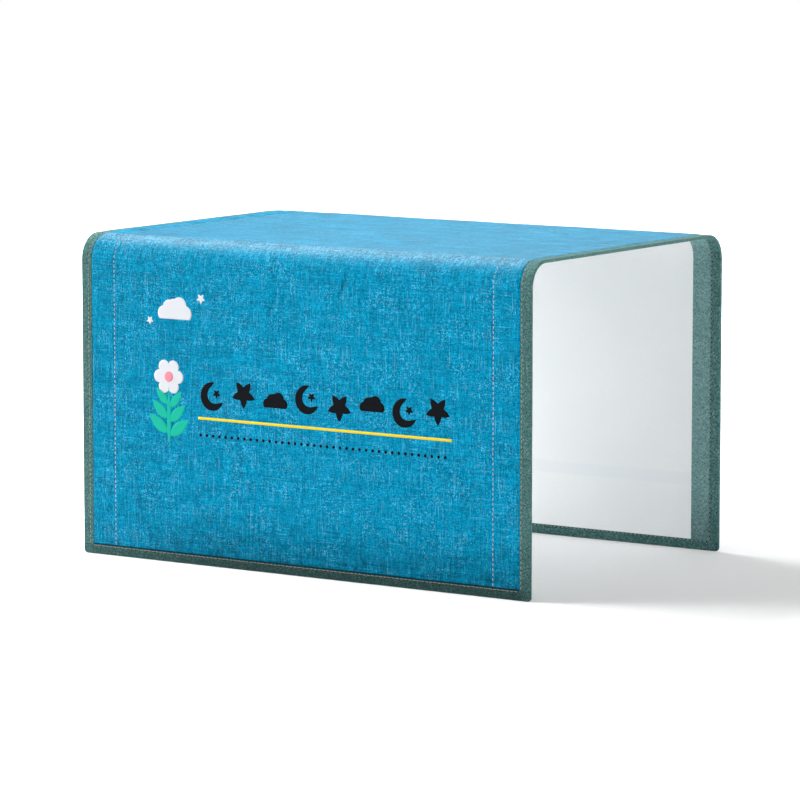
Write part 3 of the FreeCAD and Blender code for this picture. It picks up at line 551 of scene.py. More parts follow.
def add_stitching(side, threads, hole):
    def on_cover(x, up):
        return COVER_DEPTH - float(cover_relief(side, np.array(x), np.array(up)))

    name = HALVES[side]
    cover = [end * COVER_SEAM[end] for end in ENDS]
    tape = [end * (HALF_W - TAPE_SEAM[end]) for end in ENDS]
    inner = [end * (HALF_W - INNER_SEAM) for end in ENDS]
    low, inner_foot = FOOT_BAND + 0.5, FOOT_SEAM * INNER_NARROWER * INNER_FOOT_WIDER
    seams = (
        ("cover", (on_cover, FOOT_BAND + 1, cover, None), False, "blue_cloth", STITCH_L, OUTER_HOLE),
        ("tape", (lambda *place: TAPE_FACE, low, tape, None), False, "grey_green_felt", STITCH_L, OUTER_HOLE),
        ("foot", (lambda *place: TAPE_FACE, low, [], FOOT_SEAM), False, "grey_green_felt",
         FOOT_STITCH_L, OUTER_HOLE),
        ("inner", (lambda *place: INNER_FACE, low, inner, inner_foot), True, "grey_green_felt",
         STITCH_L, INNER_HOLE),
    )
    for number, (seam, places, inward, slot, length, hole_size) in enumerate(seams):
        rng = np.random.default_rng(50 + number)
        stitches = seam_stitches(*places, rng)
        sewn = sew("%s_stitches_%s" % (seam, name), side, stitches, thread_shape(length), threads[seam],
                   inward, rng)
        # Dark discs at the needle holes: painted shade
        holes = sew("%s_needle_hole_shadows_%s" % (seam, name), side, stitches, hole_shape(hole_size), hole, inward,
                    rng, STITCH_PITCH / 2)
        for piece in (sewn, holes):
            bend_and_place(piece)


# Flat leads that run up the wall from the light strips, over a fold, into the control box

LEAD_DEPTH = 1.35
LEAD_T = 0.4
LEAD_DROP = 52.2
LEAD_END = 42.1
LEAD_END_Z = 332.85
LEAD_TURN = 0.8


def lead_line(side):
    """The lead's section line, as distances out from the middle and heights."""
    last = HALF_SECTION - LEAD_DROP - LEAD_TURN
    up = up_rows(side, STRIP_LOW, 8.0)
    out, height = section(up[up < last], LEAD_DEPTH)
    ceiling = HEIGHT - LEAD_DEPTH
    turn = np.linspace(0, math.pi / 2, 5)
    down, over = LEAD_TURN * np.sin(turn), LEAD_TURN * np.cos(turn)
    out = np.concatenate([out, LEAD_DROP + LEAD_TURN - down, LEAD_DROP - LEAD_TURN + over, [LEAD_END]])
    height = np.concatenate([height, ceiling - LEAD_TURN + over, LEAD_END_Z + LEAD_TURN - down,
                             [LEAD_END_Z]])
    return out, height


def add_lead(side, material):
    node = HALVES[side] + "_led_cable"
    low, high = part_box(node)
    out, height = lead_line(side)
    x, out = np.meshgrid(np.linspace(low.x / MM + 0.1, high.x / MM - 0.1, 5), out, indexing="ij")
    height = np.broadcast_to(height, out.shape)
    points = np.stack([x, side * out, height], axis=-1)
    lead = new_object("light_lead_" + HALVES[side], points * MM, grid_faces(*x.shape, side == REAR),
                      material, points)
    thicken(lead, LEAD_T, 0.0)
    bend_and_place(lead)
    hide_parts(node)


# Materials

def srgb(red, green, blue):
    """A colour given as it shows on a screen, 0 to 255."""
    values = [v / 255 for v in (red, green, blue)]
    return [v / 12.92 if v <= 0.04045 else ((v + 0.055) / 1.055) ** 2.4 for v in values] + [1.0]


def new_node(tree, kind, output=0, inputs=None, **settings):
    """Adds a shader node, links or sets its inputs, and gives one of its outputs."""
    node = tree.nodes.new("ShaderNode" + kind)
    for key, value in settings.items():
        setattr(node, key, value)
    for key, value in (inputs or {}).items():
        if isinstance(value, bpy.types.NodeSocket):
            tree.links.new(value, node.inputs[key])
        else:
            node.inputs[key].default_value = value
    return node.outputs[output]


class Recipe:
    """A node material under construction."""

    def __init__(self, name, cloth=False, **constants):
        self.material = bpy.data.materials.new(name)
        self.material.use_nodes = True
        self.tree = self.material.node_tree
        self.shader = self.tree.nodes["Principled BSDF"]
        for socket, value in constants.items():
            self.shader.inputs[socket.replace("_", " ")].default_value = value
        if cloth:
            self.place = self.add("Attribute", 1, attribute_name="cloth")
        else:
            metres = self.add("TexCoord", 3)
            self.place = self.add("VectorMath", 0, {0: metres, "Scale": 1 / MM}, operation="SCALE")

    def add(self, *node, **settings):
        return new_node(self.tree, *node, **settings)

    def noise(self, size, detail=2.0, rough=0.5, turn=0.0, shift=0.0):
        """Random values whose grains are `size` mm across, or so many along x, y and z."""
        size = size if isinstance(size, tuple) else (size,) * 3
        place = self.place
        if turn:
            place = self.add("Mapping", 0, {"Vector": place, "Rotation": (0, 0, turn)})
        place = self.add("Mapping", 0, {"Vector": place, "Scale": [1 / s for s in size],
                                        "Location": (shift, shift, shift)})
        return self.add("TexNoise", 0, {"Vector": place, "Scale": 1.0, "Detail": detail,
                                        "Roughness": rough})

    def band(self, value, low, high, to_low=0.0, to_high=1.0):
        return self.add("MapRange", 0, {0: value, 1: low, 2: high, 3: to_low, 4: to_high},
                        interpolation_type="SMOOTHSTEP")

    def math(self, operation, a, b=0.0):
        return self.add("Math", 0, {0: a, 1: b}, operation=operation)

    plus = partialmethod(math, "ADD")
    minus = partialmethod(math, "SUBTRACT")
    times = partialmethod(math, "MULTIPLY")
    most = partialmethod(math, "MAXIMUM")

    def mix(self, share, a, b):
        """Mixes two colours, by the node's sockets for colours."""
        return self.add("Mix", 2, {0: share, 6: a, 7: b}, data_type="RGBA")

    def colour(self, value):
        self.tree.links.new(value, self.shader.inputs["Base Color"])

    def shaded(self, tone, factor):
        return self.add("VectorMath", 0, {0: tone, "Scale": factor}, operation="SCALE")

    def rough(self, value):
        self.tree.links.new(value, self.shader.inputs["Roughness"])

    def bump(self, height, distance, strength=1.0):
        normal = self.add("Bump", 0, {"Height": height, "Distance": distance * MM, "Strength": strength})
        self.tree.links.new(normal, self.shader.inputs["Normal"])

    def part(self, axis):
        """One coordinate of the place, in mm."""
        return self.add("SeparateXYZ", "XYZ".index(axis), {0: self.place})

    def off(self, axis):
        """How far the place is from the middle along an axis, in mm."""
        return self.math("ABSOLUTE", self.part(axis))


def weave_height(recipe, pitch):
    """Crowns of a plain weave."""
    turns = 2 * math.pi / pitch
    across = recipe.math("SINE", recipe.times(recipe.part("X"), turns))
    along = recipe.math("SINE", recipe.times(recipe.part("Y"), turns))
    return recipe.times(across, along)


def painted_low_shade(r, most):
    """Painted shade: how much darker the cloth is painted low down, least at its left end, and at most this
    share.
    """
    low = r.band(r.off("Y"), HALF_SECTION - 75, HALF_SECTION - 3, 0.0, most)
    return r.times(low, r.band(r.part("X"), -270, -60, 0.1, 1.0))


# Shades of the linen: grain, shift of its noise, how much lighter or darker
LINEN_SHADES = (((2.6, 44, 6), 61.0, 0.125), ((44, 2.6, 6), 67.0, 0.12), ((14, 14, 9), 71.0, 0.09))
YARN_PITCH = 3.1
# Painted highlight along the bend: where it is full and where it ends
BEND_HIGHLIGHT_FULL, BEND_HIGHLIGHT_END = HALF_TOP + 8, HALF_TOP + 26


def linen_yarns(r):
    """Plain weave: at each crossing either the upright or the level yarn is on top."""
    upright = r.noise((1.5, 6.5, 6), 2.0, 0.6)
    level = r.noise((4.8, 1.5, 6), 2.0, 0.6, shift=31.0)
    crossing = weave_height(r, YARN_PITCH)
    over = r.band(crossing, -0.3, 0.3)
    return crossing, r.plus(r.times(upright, over), r.times(level, r.minus(1.0, over)))


def linen_slubs(r, tone, yarn):
    """Adds pale, long and dark slubs. Gives the colour, and how pale it is."""
    fleck = r.band(r.noise((1.6, 2.2, 1.6), 2.0, 0.6, shift=57.0), 0.60, 0.67)
    pale = r.most(r.band(yarn, 0.61, 0.67), fleck)
    pale = r.times(pale, r.band(r.noise((30, 24, 30), shift=7.0), 0.40, 0.64, 0.08, 0.42))
    tone = r.mix(pale, tone, srgb(148, 201, 227))
    long_slub = r.most(r.band(r.noise((1.3, 30.0, 6), 1.0, shift=83.0), 0.64, 0.72),
                       r.band(r.noise((26.0, 1.3, 6), 1.0, shift=91.0), 0.67, 0.75))
    tone = r.mix(r.times(long_slub, 0.34), tone, srgb(113, 182, 215))
    dark = r.band(r.noise((1.6, 2.6, 2), shift=19.0), 0.58, 0.68, 0.0, 0.32)
    tone = r.mix(dark, tone, srgb(0, 87, 126))
    wide = r.band(r.noise((90, 70, 60), shift=3.0), 0.35, 0.65, 0.0, 0.2)
    return r.mix(wide, tone, srgb(0, 126, 161)), pale


def linen_tone_and_painted_light(r, border, wear_and_painted_highlight):
    """How light the cloth is: painted light in streaks on the top, painted shade low down, towards the left
    end and in the creases, and uneven tone all over.
    """
    # Painted light: the top is painted lighter, in streaks that stand for the light on its soft waves.
    on_top = r.band(border, HALF_TOP - 4, HALF_TOP + 10, 1.0, 0.0)
    painted_top_light = r.band(r.noise((56, 8, 6), shift=43.0), 0.34, 0.66, 0.0, 0.36)
    # Painted shade: darker towards the left end, to even out the key lamp, which is nearer there.
    light = r.plus(r.band(r.part("X"), -280, 40, 0.90, 1.0), r.times(painted_top_light, on_top))
    # Painted shade low down, and a touch darker under the painted bend highlight.
    light = r.minus(light, r.plus(painted_low_shade(r, 0.42), r.times(wear_and_painted_highlight, 0.03)))
    for grain, shift, swing in LINEN_SHADES:
        light = r.plus(light, r.band(r.noise(grain, shift=shift), 0.3, 0.7, -swing, swing))
    # Painted shade in the creases
    return r.minus(light, r.times(r.add("Attribute", 2, attribute_name="crease"), CREASE_SHADE))


def blue_linen():
    """Plain weave of slubby yarns, with a pale painted highlight along the bend."""
    r = Recipe("blue_linen", cloth=True, Sheen_Weight=0.03, Sheen_Roughness=0.22,
               Sheen_Tint=srgb(190, 230, 246), Specular_IOR_Level=0.07, Specular_Tint=(0.0, 0.6, 0.7, 1))
    crossing, yarn = linen_yarns(r)
    tone = r.mix(r.band(yarn, 0.40, 0.58), srgb(0, 104, 145), srgb(0, 147, 183))
    tone, pale = linen_slubs(r, tone, yarn)
    border = r.off("Y")
    # Painted highlight: a pale band along the bend, where light falls on it
    wear_and_painted_highlight = r.times(r.band(border, HALF_TOP, BEND_HIGHLIGHT_FULL), r.band(border, BEND_HIGHLIGHT_FULL, BEND_HIGHLIGHT_END, 1.0, 0.0))
    tone = r.mix(r.times(wear_and_painted_highlight, r.band(yarn, 0.42, 0.60, 0.06, 0.42)), tone, srgb(170, 206, 222))
    # Painted shadow: a dark line along the gap where the cover meets the foot band.
    line = r.band(border, HALF_SECTION - FOOT_BAND - 1.9, HALF_SECTION - FOOT_BAND - 0.9)
    r.colour(r.mix(line, r.shaded(tone, linen_tone_and_painted_light(r, border, wear_and_painted_highlight)), srgb(0, 44, 56)))
    r.rough(r.band(r.part("X"), -242, -236, 0.60, 0.35))
    height = r.plus(r.times(r.math("ABSOLUTE", crossing), 0.5), yarn)
    r.bump(r.plus(height, r.times(pale, 0.6)), 0.26, 0.9)
    return r.material


def felt(name, base, light, dark):
    """Brushed tape: short fibres that lie every way, in lighter and darker tufts. Painted light and shade:
    lighter on the inner face and over the bend, darker low down and along the outside of the foot.
    """
    r = Recipe(name, cloth=True, Roughness=0.9, Sheen_Weight=0.3, Sheen_Roughness=0.35,
               Sheen_Tint=srgb(196, 226, 216), Specular_IOR_Level=0.05)
    fuzz = r.noise(2.4, 4.0, 0.7)
    fibre = r.most(r.noise((0.6, 3.4, 2), turn=0.7), r.noise((0.6, 3.4, 2), turn=-0.9))
    tone = r.mix(r.band(fuzz, 0.41, 0.60), srgb(*dark), srgb(*base))
    tone = r.mix(r.band(fibre, 0.54, 0.68, 0.0, 0.9), tone, srgb(*light))
    tuft = r.band(r.noise(1.8, 2.0, 0.6, shift=13.0), 0.54, 0.64, 0.0, 0.9)
    tone = r.mix(tuft, tone, srgb(*[int(c * 0.8) for c in dark]))
    cloud = r.band(r.noise(16, shift=5.0), 0.35, 0.65, 0.0, 0.3)
    tone = r.mix(cloud, tone, srgb(*dark))
    outside = r.band(r.part("Z"), 4.0, 6.0, 1.0, 0.0)
    border = r.off("Y")
    end = r.band(r.off("X"), HALF_W - SIDE_BAND - 2, HALF_W - 2, 1.0, 0.45)
    foot = r.band(border, HALF_SECTION - FOOT_BAND - 0.8, HALF_SECTION - FOOT_BAND + 0.4)
    # Painted shade: the outside of the foot band is painted darker, less so at the ends.
    painted_foot_shade = r.times(r.times(foot, outside), r.times(end, 0.30))
    # Painted light: the inner face is painted lighter than the outer.
    inner = r.plus(1.30, r.times(outside, -0.30))
    # Painted highlight on the outer face over the bend.
    painted_bend_highlight = r.times(outside, r.band(border, HALF_TOP + 14, HALF_TOP + 36, 0.32, 0.0))
    # The painted light and shade together, with painted shade low down.
    painted_light_and_shade = r.minus(r.minus(r.plus(inner, painted_bend_highlight), painted_low_shade(r, 0.30)), painted_foot_shade)
    r.colour(r.shaded(tone, painted_light_and_shade))
    r.bump(r.plus(fuzz, r.times(fibre, 0.6)), 0.3, 0.8)
    return r.material


def white_film():
    r = Recipe("white_film", cloth=True, Specular_IOR_Level=0.45, Coat_Weight=0.12, Coat_Roughness=0.3)
    wide = r.noise((120, 90, 60))
    tone = r.mix(r.band(wide, 0.35, 0.65), srgb(246, 248, 249), srgb(243, 246, 247))
    fine = r.noise(0.8)
    tone = r.mix(r.band(fine, 0.4, 0.7, 0.0, 0.3), tone, srgb(228, 233, 236))
    height = r.off("Y")
    low, high = HALF_SECTION - STRIP_HIGH, HALF_SECTION - STRIP_LOW
    strip = r.times(r.band(height, low - 1, low + 1), r.band(height, high - 1, high + 1, 1.0, 0.0))
    r.colour(r.mix(r.times(strip, 0.45), tone, srgb(234, 239, 242)))
    r.rough(r.band(wide, 0.3, 0.7, 0.42, 0.48))
    r.bump(r.plus(weave_height(r, 1.2), r.times(fine, 1.5)), 0.012, 0.5)
    return r.material


def thread(name, light, dark):
    r = Recipe(name, cloth=True, Roughness=0.6, Sheen_Weight=0.3, Sheen_Roughness=0.4)
    twist = r.math("SINE", r.times(r.plus(r.part("X"), r.part("Y")), 9.0))
    wear_and_painted_highlight = r.noise(2.2)
    tone = r.mix(r.band(twist, -0.9, 0.6), srgb(*dark), srgb(*light))
    r.colour(r.mix(r.band(wear_and_painted_highlight, 0.45, 0.7, 0.0, 0.5), tone, srgb(*dark)))
    r.bump(twist, 0.05, 0.8)
    return r.material


# Painted shade: the dark of the needle holes
def needle_hole_shadow():
    r = Recipe("needle_hole_shadow", cloth=True, Roughness=0.95, Specular_IOR_Level=0.1)
    r.colour(r.mix(r.band(r.noise(0.6), 0.4, 0.6), srgb(30, 46, 48), srgb(44, 66, 66)))
    return r.material


def ink(name, tone, wear_and_painted_highlight, rough=0.55):
    """Screen ink on the cloth: the weave shows through it as bump and as tiny misses."""
    r = Recipe(name, Specular_IOR_Level=0.04)
    miss = r.band(r.noise(0.7, 3.0, 0.6), 0.60, 0.74, 0.0, 0.55)
    r.colour(r.mix(miss, srgb(*tone), srgb(*wear_and_painted_highlight)))
    r.rough(r.band(r.noise(6), 0.3, 0.7, rough - 0.06, rough + 0.08))
    r.bump(r.noise(0.8, 3.0), 0.08, 0.6)
    return r.material


def moulded(name, tone, shade, rough, grain, grain_depth, coat=0.0, coat_rough=0.03):
    """Moulded or coated parts: fine texture, slight variation in tone and gloss."""
    r = Recipe(name, Coat_Weight=coat, Coat_Roughness=coat_rough)
    wide = r.noise(30)
    speck = r.noise(0.35)
    base = r.mix(r.band(wide, 0.35, 0.65), srgb(*tone), srgb(*shade))
    r.colour(r.mix(r.band(speck, 0.60, 0.75, 0.0, 0.3), base, srgb(*[int(c * 0.86) for c in tone])))
    r.rough(r.band(wide, 0.3, 0.7, rough - 0.05, rough + 0.06))
    r.bump(r.noise(grain), grain_depth, 0.7)
    return r.material


def brushed(name, tone, shade, rough, along):
    r = Recipe(name, Metallic=1.0)
    lines = r.noise(tuple(30 if axis == along else 0.25 for axis in "XYZ"), 3.0, 0.6)
    r.colour(r.mix(r.band(lines, 0.35, 0.65), srgb(*tone), srgb(*shade)))
    r.rough(r.band(lines, 0.3, 0.7, rough - 0.07, rough + 0.09))
    r.bump(lines, 0.01, 0.6)
    return r.material


def led_material():
    r = Recipe("led", Roughness=0.18, Coat_Weight=0.6, Coat_Roughness=0.05, Specular_IOR_Level=0.6)
    body = r.noise(1.2, 1.0)
    r.colour(r.mix(r.band(body, 0.4, 0.6), srgb(206, 222, 246), srgb(168, 194, 240)))
    r.bump(body, 0.02, 0.4)
    return r.material


def diffuser_material():
    r = Recipe("diffuser", Transmission_Weight=0.25, Specular_IOR_Level=0.5)
    dots = r.noise(0.9)
    wide = r.noise(40, 1.0)
    r.colour(r.mix(r.band(wide, 0.35, 0.65), srgb(238, 246, 250), srgb(235, 244, 249)))
    r.rough(r.band(dots, 0.3, 0.7, 0.34, 0.48))
    r.bump(dots, 0.02, 0.5)
    return r.material


def solder_mask():
    r = Recipe("solder_mask", Roughness=0.35, Specular_IOR_Level=0.5)
    lanes = r.math("SINE", r.times(r.part("Y"), 2.4))
    breaks = r.noise((6, 5, 6), 1.0)
    track = r.times(r.band(lanes, 0.55, 0.75), r.band(breaks, 0.5, 0.56))
    r.colour(r.mix(track, srgb(18, 92, 62), srgb(44, 128, 88)))
    r.bump(track, 0.03, 0.8)
    return r.material


# Coated and moulded slots: two tones, roughness, grain, how deep it is, and gloss coat
MOULDED = {
    "core_board": ((240, 240, 234), (232, 232, 226), 0.62, 1.5, 0.05),
    "tray_aluminium": ((232, 235, 237), (226, 229, 232), 0.38, 0.8, 0.04),
    "light_board": ((240, 240, 236), (233, 234, 230), 0.4, 0.6, 0.02),
    "lamp_trim": ((226, 229, 230), (219, 223, 225), 0.48, 0.7, 0.06),
    "control_shell": ((222, 227, 228), (214, 220, 222), 0.5, 0.6, 0.07),
    "display_dark": ((30, 34, 38), (24, 28, 32), 0.3, 1.0, 0.01),
    "window_smoke": ((26, 30, 34), (20, 24, 28), 0.12, 3.0, 0.004, 0.7, 0.04),
    "indicator_green": ((70, 196, 118), (52, 176, 100), 0.15, 1.0, 0.005, 0.5, 0.05),
    "button_teal": ((62, 142, 148), (54, 132, 140), 0.5, 0.5, 0.05),
    "button_grey": ((138, 152, 154), (128, 142, 145), 0.5, 0.5, 0.05),
    "switch_black": ((44, 45, 46), (36, 37, 38), 0.45, 0.6, 0.03),
    "inlet_black": ((34, 35, 36), (28, 29, 30), 0.32, 0.8, 0.03),
    "cable_grey": ((196, 197, 198), (186, 187, 189), 0.5, 0.6, 0.04),
}


def slot_materials():
    """The material of each slot of the record."""
    return {
        "blue_cloth": blue_linen(),
        "grey_green_felt": felt("binding_felt", (73, 111, 109), (122, 156, 149), (51, 88, 88)),
        "facing_felt": felt("facing_felt", (123, 161, 160), (159, 188, 187), (98, 138, 139)),
        "white_film": white_film(),
        "bar_steel": brushed("bar_steel", (176, 178, 180), (150, 152, 155), 0.34, "Z"),
        "screw_steel": brushed("screw_steel", (186, 188, 190), (158, 160, 163), 0.26, "X"),
        "led": led_material(),
        "diffuser": diffuser_material(),
        "circuit_board": solder_mask(),
        **{slot: moulded(slot, *values) for slot, values in MOULDED.items()},
    }


# Print on the front: generic motifs and a stripe, in ink that follows the cloth

PRINT_PROUD = 0.10
CENTRE_PROUD = 0.24
PRINT_T = 0.05


def ring_patch(outline, centre, step=2.2):
    """A closed patch: rings of points between a centre and an outline."""
    outline, centre = np.asarray(outline, float), np.asarray(centre, float)
    reach = np.max(np.linalg.norm(outline - centre, axis=1))
    rings = max(2, int(math.ceil(reach / step)))
    shares = (np.arange(rings) + 0.35) / (rings - 0.65)
    return np.array([centre + share * (outline - centre) for share in shares]), True


def around(count):
    return np.linspace(0, 2 * math.pi, count, endpoint=False)


def polar(x, z, reach, angle):
    """Points at a distance and an angle from (x, z)."""
    return np.stack([x + reach * np.cos(angle), z + reach * np.sin(angle)], axis=1)


def disc(x, z, radius, count):
    return ring_patch(polar(x, z, radius, around(count)), (x, z))


def star(x, z, radius, points=5, waist=0.5):
    """A soft star: its reach swings between the points and the waists."""
    a = around(points * 12)
    phase = np.abs(((a * points / (2 * math.pi)) % 1) * 2 - 1)
    reach = radius * (waist + (1 - waist) * phase ** 1.3)
    return ring_patch(polar(x, z, reach, a + math.pi / 2 + math.pi / points), (x, z))


def blossom(x, z, radius, petals, dip):
    a = around(petals * 14)
    reach = radius * (1 - dip + dip * np.abs(np.cos(petals * a / 2)) ** 0.7)
    return ring_patch(polar(x, z, reach, a), (x, z))


def cloud(x, z, size):
    """The outline of a few discs that share a middle."""
    puffs = ((0, 0, 0.55), (-0.62, -0.16, 0.36), (0.62, -0.14, 0.38), (0.28, 0.22, 0.42), (-0.3, 0.12, 0.38))
    a = around(96)
    ray = np.stack([np.cos(a), np.sin(a)], axis=1)
    reach = np.zeros(len(a))
    for px, pz, pr in puffs:
        mid = np.array([px, pz])
        along = ray @ mid
        gap = pr ** 2 - (mid @ mid - along ** 2)
        reach = np.maximum(reach, np.where(gap > 0, along + np.sqrt(np.maximum(gap, 0)), 0))
    outline = np.array([x, z]) + size * reach[:, None] * ray
    outline[:, 1] = np.maximum(outline[:, 1], z - 0.42 * size)
    return ring_patch(outline, (x, z))


def moon(x, z, radius, turn):
    """A crescent: a strip of points between its outer and inner arcs."""
    t = np.linspace(-1, 1, 25)
    outer = t * math.radians(128)
    width = radius * 0.62 * np.sqrt(np.maximum(1 - t ** 2, 0.004))
    rows = [polar(x, z, radius - share * width, outer + turn) for share in np.linspace(0, 1, 7)]
    return np.array(rows), False


def leaf(x, z, length, width, turn):
    t = np.linspace(0.01, 0.99, 15)
    half = width / 2 * np.sin(math.pi * t ** 0.8)
    rows = []
    for share in np.linspace(-1, 1, 7):
        along, across = t * length, share * half
        rows.append(np.stack([x + along * math.cos(turn) - across * math.sin(turn),
                              z + along * math.sin(turn) + across * math.cos(turn)], axis=1))
    return np.array(rows), False


def stripe(x0, x1, z0, z1):
    x = np.arange(x0, x1 + 0.1, 2.5)
    return np.array([np.stack([x, np.full_like(x, z)], axis=1) for z in np.linspace(z0, z1, 3)]), False


def patch_mesh(patches):
    """Joins patches, which are rows of places. A closed one's rows are rings, and its inmost is filled."""
    places, faces, count = [], [], 0
    for patch, closed in patches:
        rows, columns = patch.shape[:2]
        quads = grid_faces(rows, columns, closed=closed)
        if closed:
            quads.append(tuple(range(columns)))
        faces += [tuple(count + i for i in face) for face in quads]
        places.append(patch.reshape(-1, 2))
        count += rows * columns
    return np.concatenate(places), faces


def face_minus(piece, axis):
    """Turns every face towards the low side of an axis."""
    for polygon in piece.data.polygons:
        if polygon.normal[axis] > 0:
            polygon.flip()
    piece.data.update()


def add_print(name, patches, material, proud=PRINT_PROUD):
    """Puts ink on the front. Patches have places (x, z)."""
    places, faces = patch_mesh(patches)
    x, up = places[:, 0], places[:, 1]
    depth = COVER_DEPTH - cover_relief(FRONT, x, up) - proud
    piece = new_object(name, wall(FRONT, x, up, depth), faces, material)
    face_minus(piece, 1)
    thicken(piece, PRINT_T)
    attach(piece, "front_panel")


def sky_row():
    """Moons, stars and clouds in a staggered row."""
    shapes, x0, pitch = [], -110.0, 40.0
    for k in range(8):
        x, z = x0 + k * pitch, 181.0 + (3.0 if k % 2 else -2.0)
        if k % 3 == 0:
            shapes.append(moon(x, z, 15.0, math.pi + 0.5))
            shapes.append(star(x + 5.5, z + 3.0, 5.0))
        elif k % 3 == 1:
            shapes.append(star(x, z, 15.0))
        else:
            shapes.append(cloud(x, z, 15.5))
    return shapes


def sprig():
    """A mint stem with three pairs of leaves."""
    x, low = -166.0, 124.0
    shapes = [leaf(x, low, 62.0, 5.0, math.pi / 2)]
    for k, size in enumerate((30.0, 27.0, 22.0)):
        z = low + 10 + 15 * k
        shapes.append(leaf(x + 2, z, size, size * 0.42, math.radians(38 + 6 * k)))
        shapes.append(leaf(x - 2, z + 3, size, size * 0.42, math.radians(142 - 6 * k)))
    return shapes


def add_front_print():
    dark = ink("dark_ink", (14, 16, 20), (6, 48, 66))
    yellow = ink("yellow_ink", (230, 204, 50), (158, 180, 84))
    white = ink("white_ink", (207, 209, 214), (174, 194, 208))
    mint = ink("mint_ink", (26, 172, 145), (18, 148, 158))
    pink = ink("pink_ink", (232, 134, 148), (202, 126, 150))
    add_print("print_sky_row", sky_row(), dark)
    add_print("print_stripe", [stripe(-128, 188, 153.8, 156.6)], yellow)
    dots = [disc(x, 137.5, 1.7, 14) for x in np.arange(-125, 187, 8.0)]
    add_print("print_dots", dots, dark)
    add_print("print_sprig", sprig(), mint)
    add_print("print_blossom", [blossom(-166.0, 196.0, 19.0, 6, 0.28)], white)
    add_print("print_blossom_centre", [disc(-166.0, 196.0, 5.5, 24)], pink, CENTRE_PROUD)
    sky = [cloud(-158.0, 266.0, 22.0), star(-124.0, 280.0, 5.5), star(-190.0, 254.0, 4.5)]
    add_print("print_cloud", sky, white)


# Marks on the control box, which faces -X

MARK_PROUD = 0.02
MARK_T = 0.06


def mark_spot(node):
    """Where a node's mark goes, in mm: x of its face, and y and z of its middle."""
    low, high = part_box(node)
    return low.x / MM - MARK_PROUD, (low.y + high.y) / 2 / MM, (low.z + high.z) / 2 / MM


def add_marks(name, body, x, patches, material):
    """Thin raised marks on a face that looks towards -X. Patches have places (y, z)."""
    places, faces = patch_mesh(patches)
    spots = np.stack([np.full(len(places), x), places[:, 0], places[:, 1]], axis=1) * MM
    piece = new_object(name, spots, faces, material)
    face_minus(piece, 0)
    thicken(piece, MARK_T, 0.0)
    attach(piece, body)


def triangle(y, z, size, turn):
    tips = polar(y, z, size, turn + np.array([0, 2 * math.pi / 3, 4 * math.pi / 3]))
    sides = [tips[k] + (tips[(k + 1) % 3] - tips[k]) * s for k in range(3) for s in np.linspace(0, 1, 6)[:-1]]
    return ring_patch(sides, (y, z), 0.5)


def arc_mark(y, z, radius, width, low, high):
    a = np.linspace(low, high, 28)
    return np.array([polar(y, z, reach, a) for reach in (radius - width / 2, radius + width / 2)]), False


def bar(y0, z0, y1, z1, width):
    """A straight mark with pointed ends, as on a digit of a display."""
    start, end = np.array([y0, z0]), np.array([y1, z1])
    along = (end - start) / np.linalg.norm(end - start)
    across = np.array([-along[1], along[0]]) * width / 2
    tip = along * width / 2
    return np.array([[start + tip + across, end - tip + across], [start, end],
                     [start + tip - across, end - tip - across]]), False


def digit(y, z, width, height, stroke):
    """The seven bars of a display's digit. Seen from -X, +Y is to the left."""
    left, right, top, low = y + width / 2, y - width / 2, z + height / 2, z - height / 2
    gap = 0.12
    lines = [(left, z, right, z), (left, top, right, top), (left, low, right, low),
             (left, z, left, top), (right, z, right, top), (left, low, left, z), (right, low, right, z)]
    marks = []
    for y0, z0, y1, z1 in lines:
        dy, dz = np.sign(y1 - y0) * gap, np.sign(z1 - z0) * gap
        marks.append(bar(y0 + dy, z0 + dz, y1 - dy, z1 - dz, stroke))
    return marks


def add_control_marks():
    pale = ink("pale_mark", (232, 238, 238), (205, 216, 216), 0.45)
    face, y, z = mark_spot("power_button")
    power = [arc_mark(y, z, 2.1, 0.5, math.radians(125), math.radians(415)),
             bar(y, z + 0.5, y, z + 2.9, 0.55)]
    add_marks("power_mark", "power_button", face, power, pale)
    for body, turn in (("timer_up_button", math.pi / 2), ("timer_down_button", -math.pi / 2)):
        face, y, _ = mark_spot(body)
        add_marks(body.replace("button", "mark"), body, face, [triangle(y, z, 1.9, turn)], pale)
    ghost = ink("display_segments", (92, 104, 110), (80, 92, 98), 0.3)
    face, middle, _ = mark_spot("display_window")
    marks = [mark for k in range(4) for mark in digit(middle + 9.0 - 6.0 * k, z, 3.2, 5.6, 0.7)]
    add_marks("display_segments", "top", face, marks, ghost)


# Floor, lights and camera

FLOOR_REACH = 9.0
FLOOR_GAP = 0.0002
WORLD_LEVEL = 0.33
# Lamps: place, what they face, size, watts
LAMPS = {
    "above": ((-2.2, -0.2, 2.9), (0, -0.05, 0.33), (3.4, 1.05), 222),
    "key": ((-3.9, -2.9, 1.2), (0, 0.1, 0.15), (2.6, 1.9), 109),
    "back": ((-1.2, 2.7, 1.9), (0, 0, 0.33), (2.0, 1.0), 14),
    "right_end": ((2.4, -0.42, 0.2), (0.25, 0.15, 0.17), (2.0, 0.36), 28),
}
# The camera that fits the photograph
LENS = 200.27
CAMERA_PLACE = (2.5975, -3.8924, 0.7602)
AZIMUTH, PITCH = math.radians(33.745), math.radians(7.274)


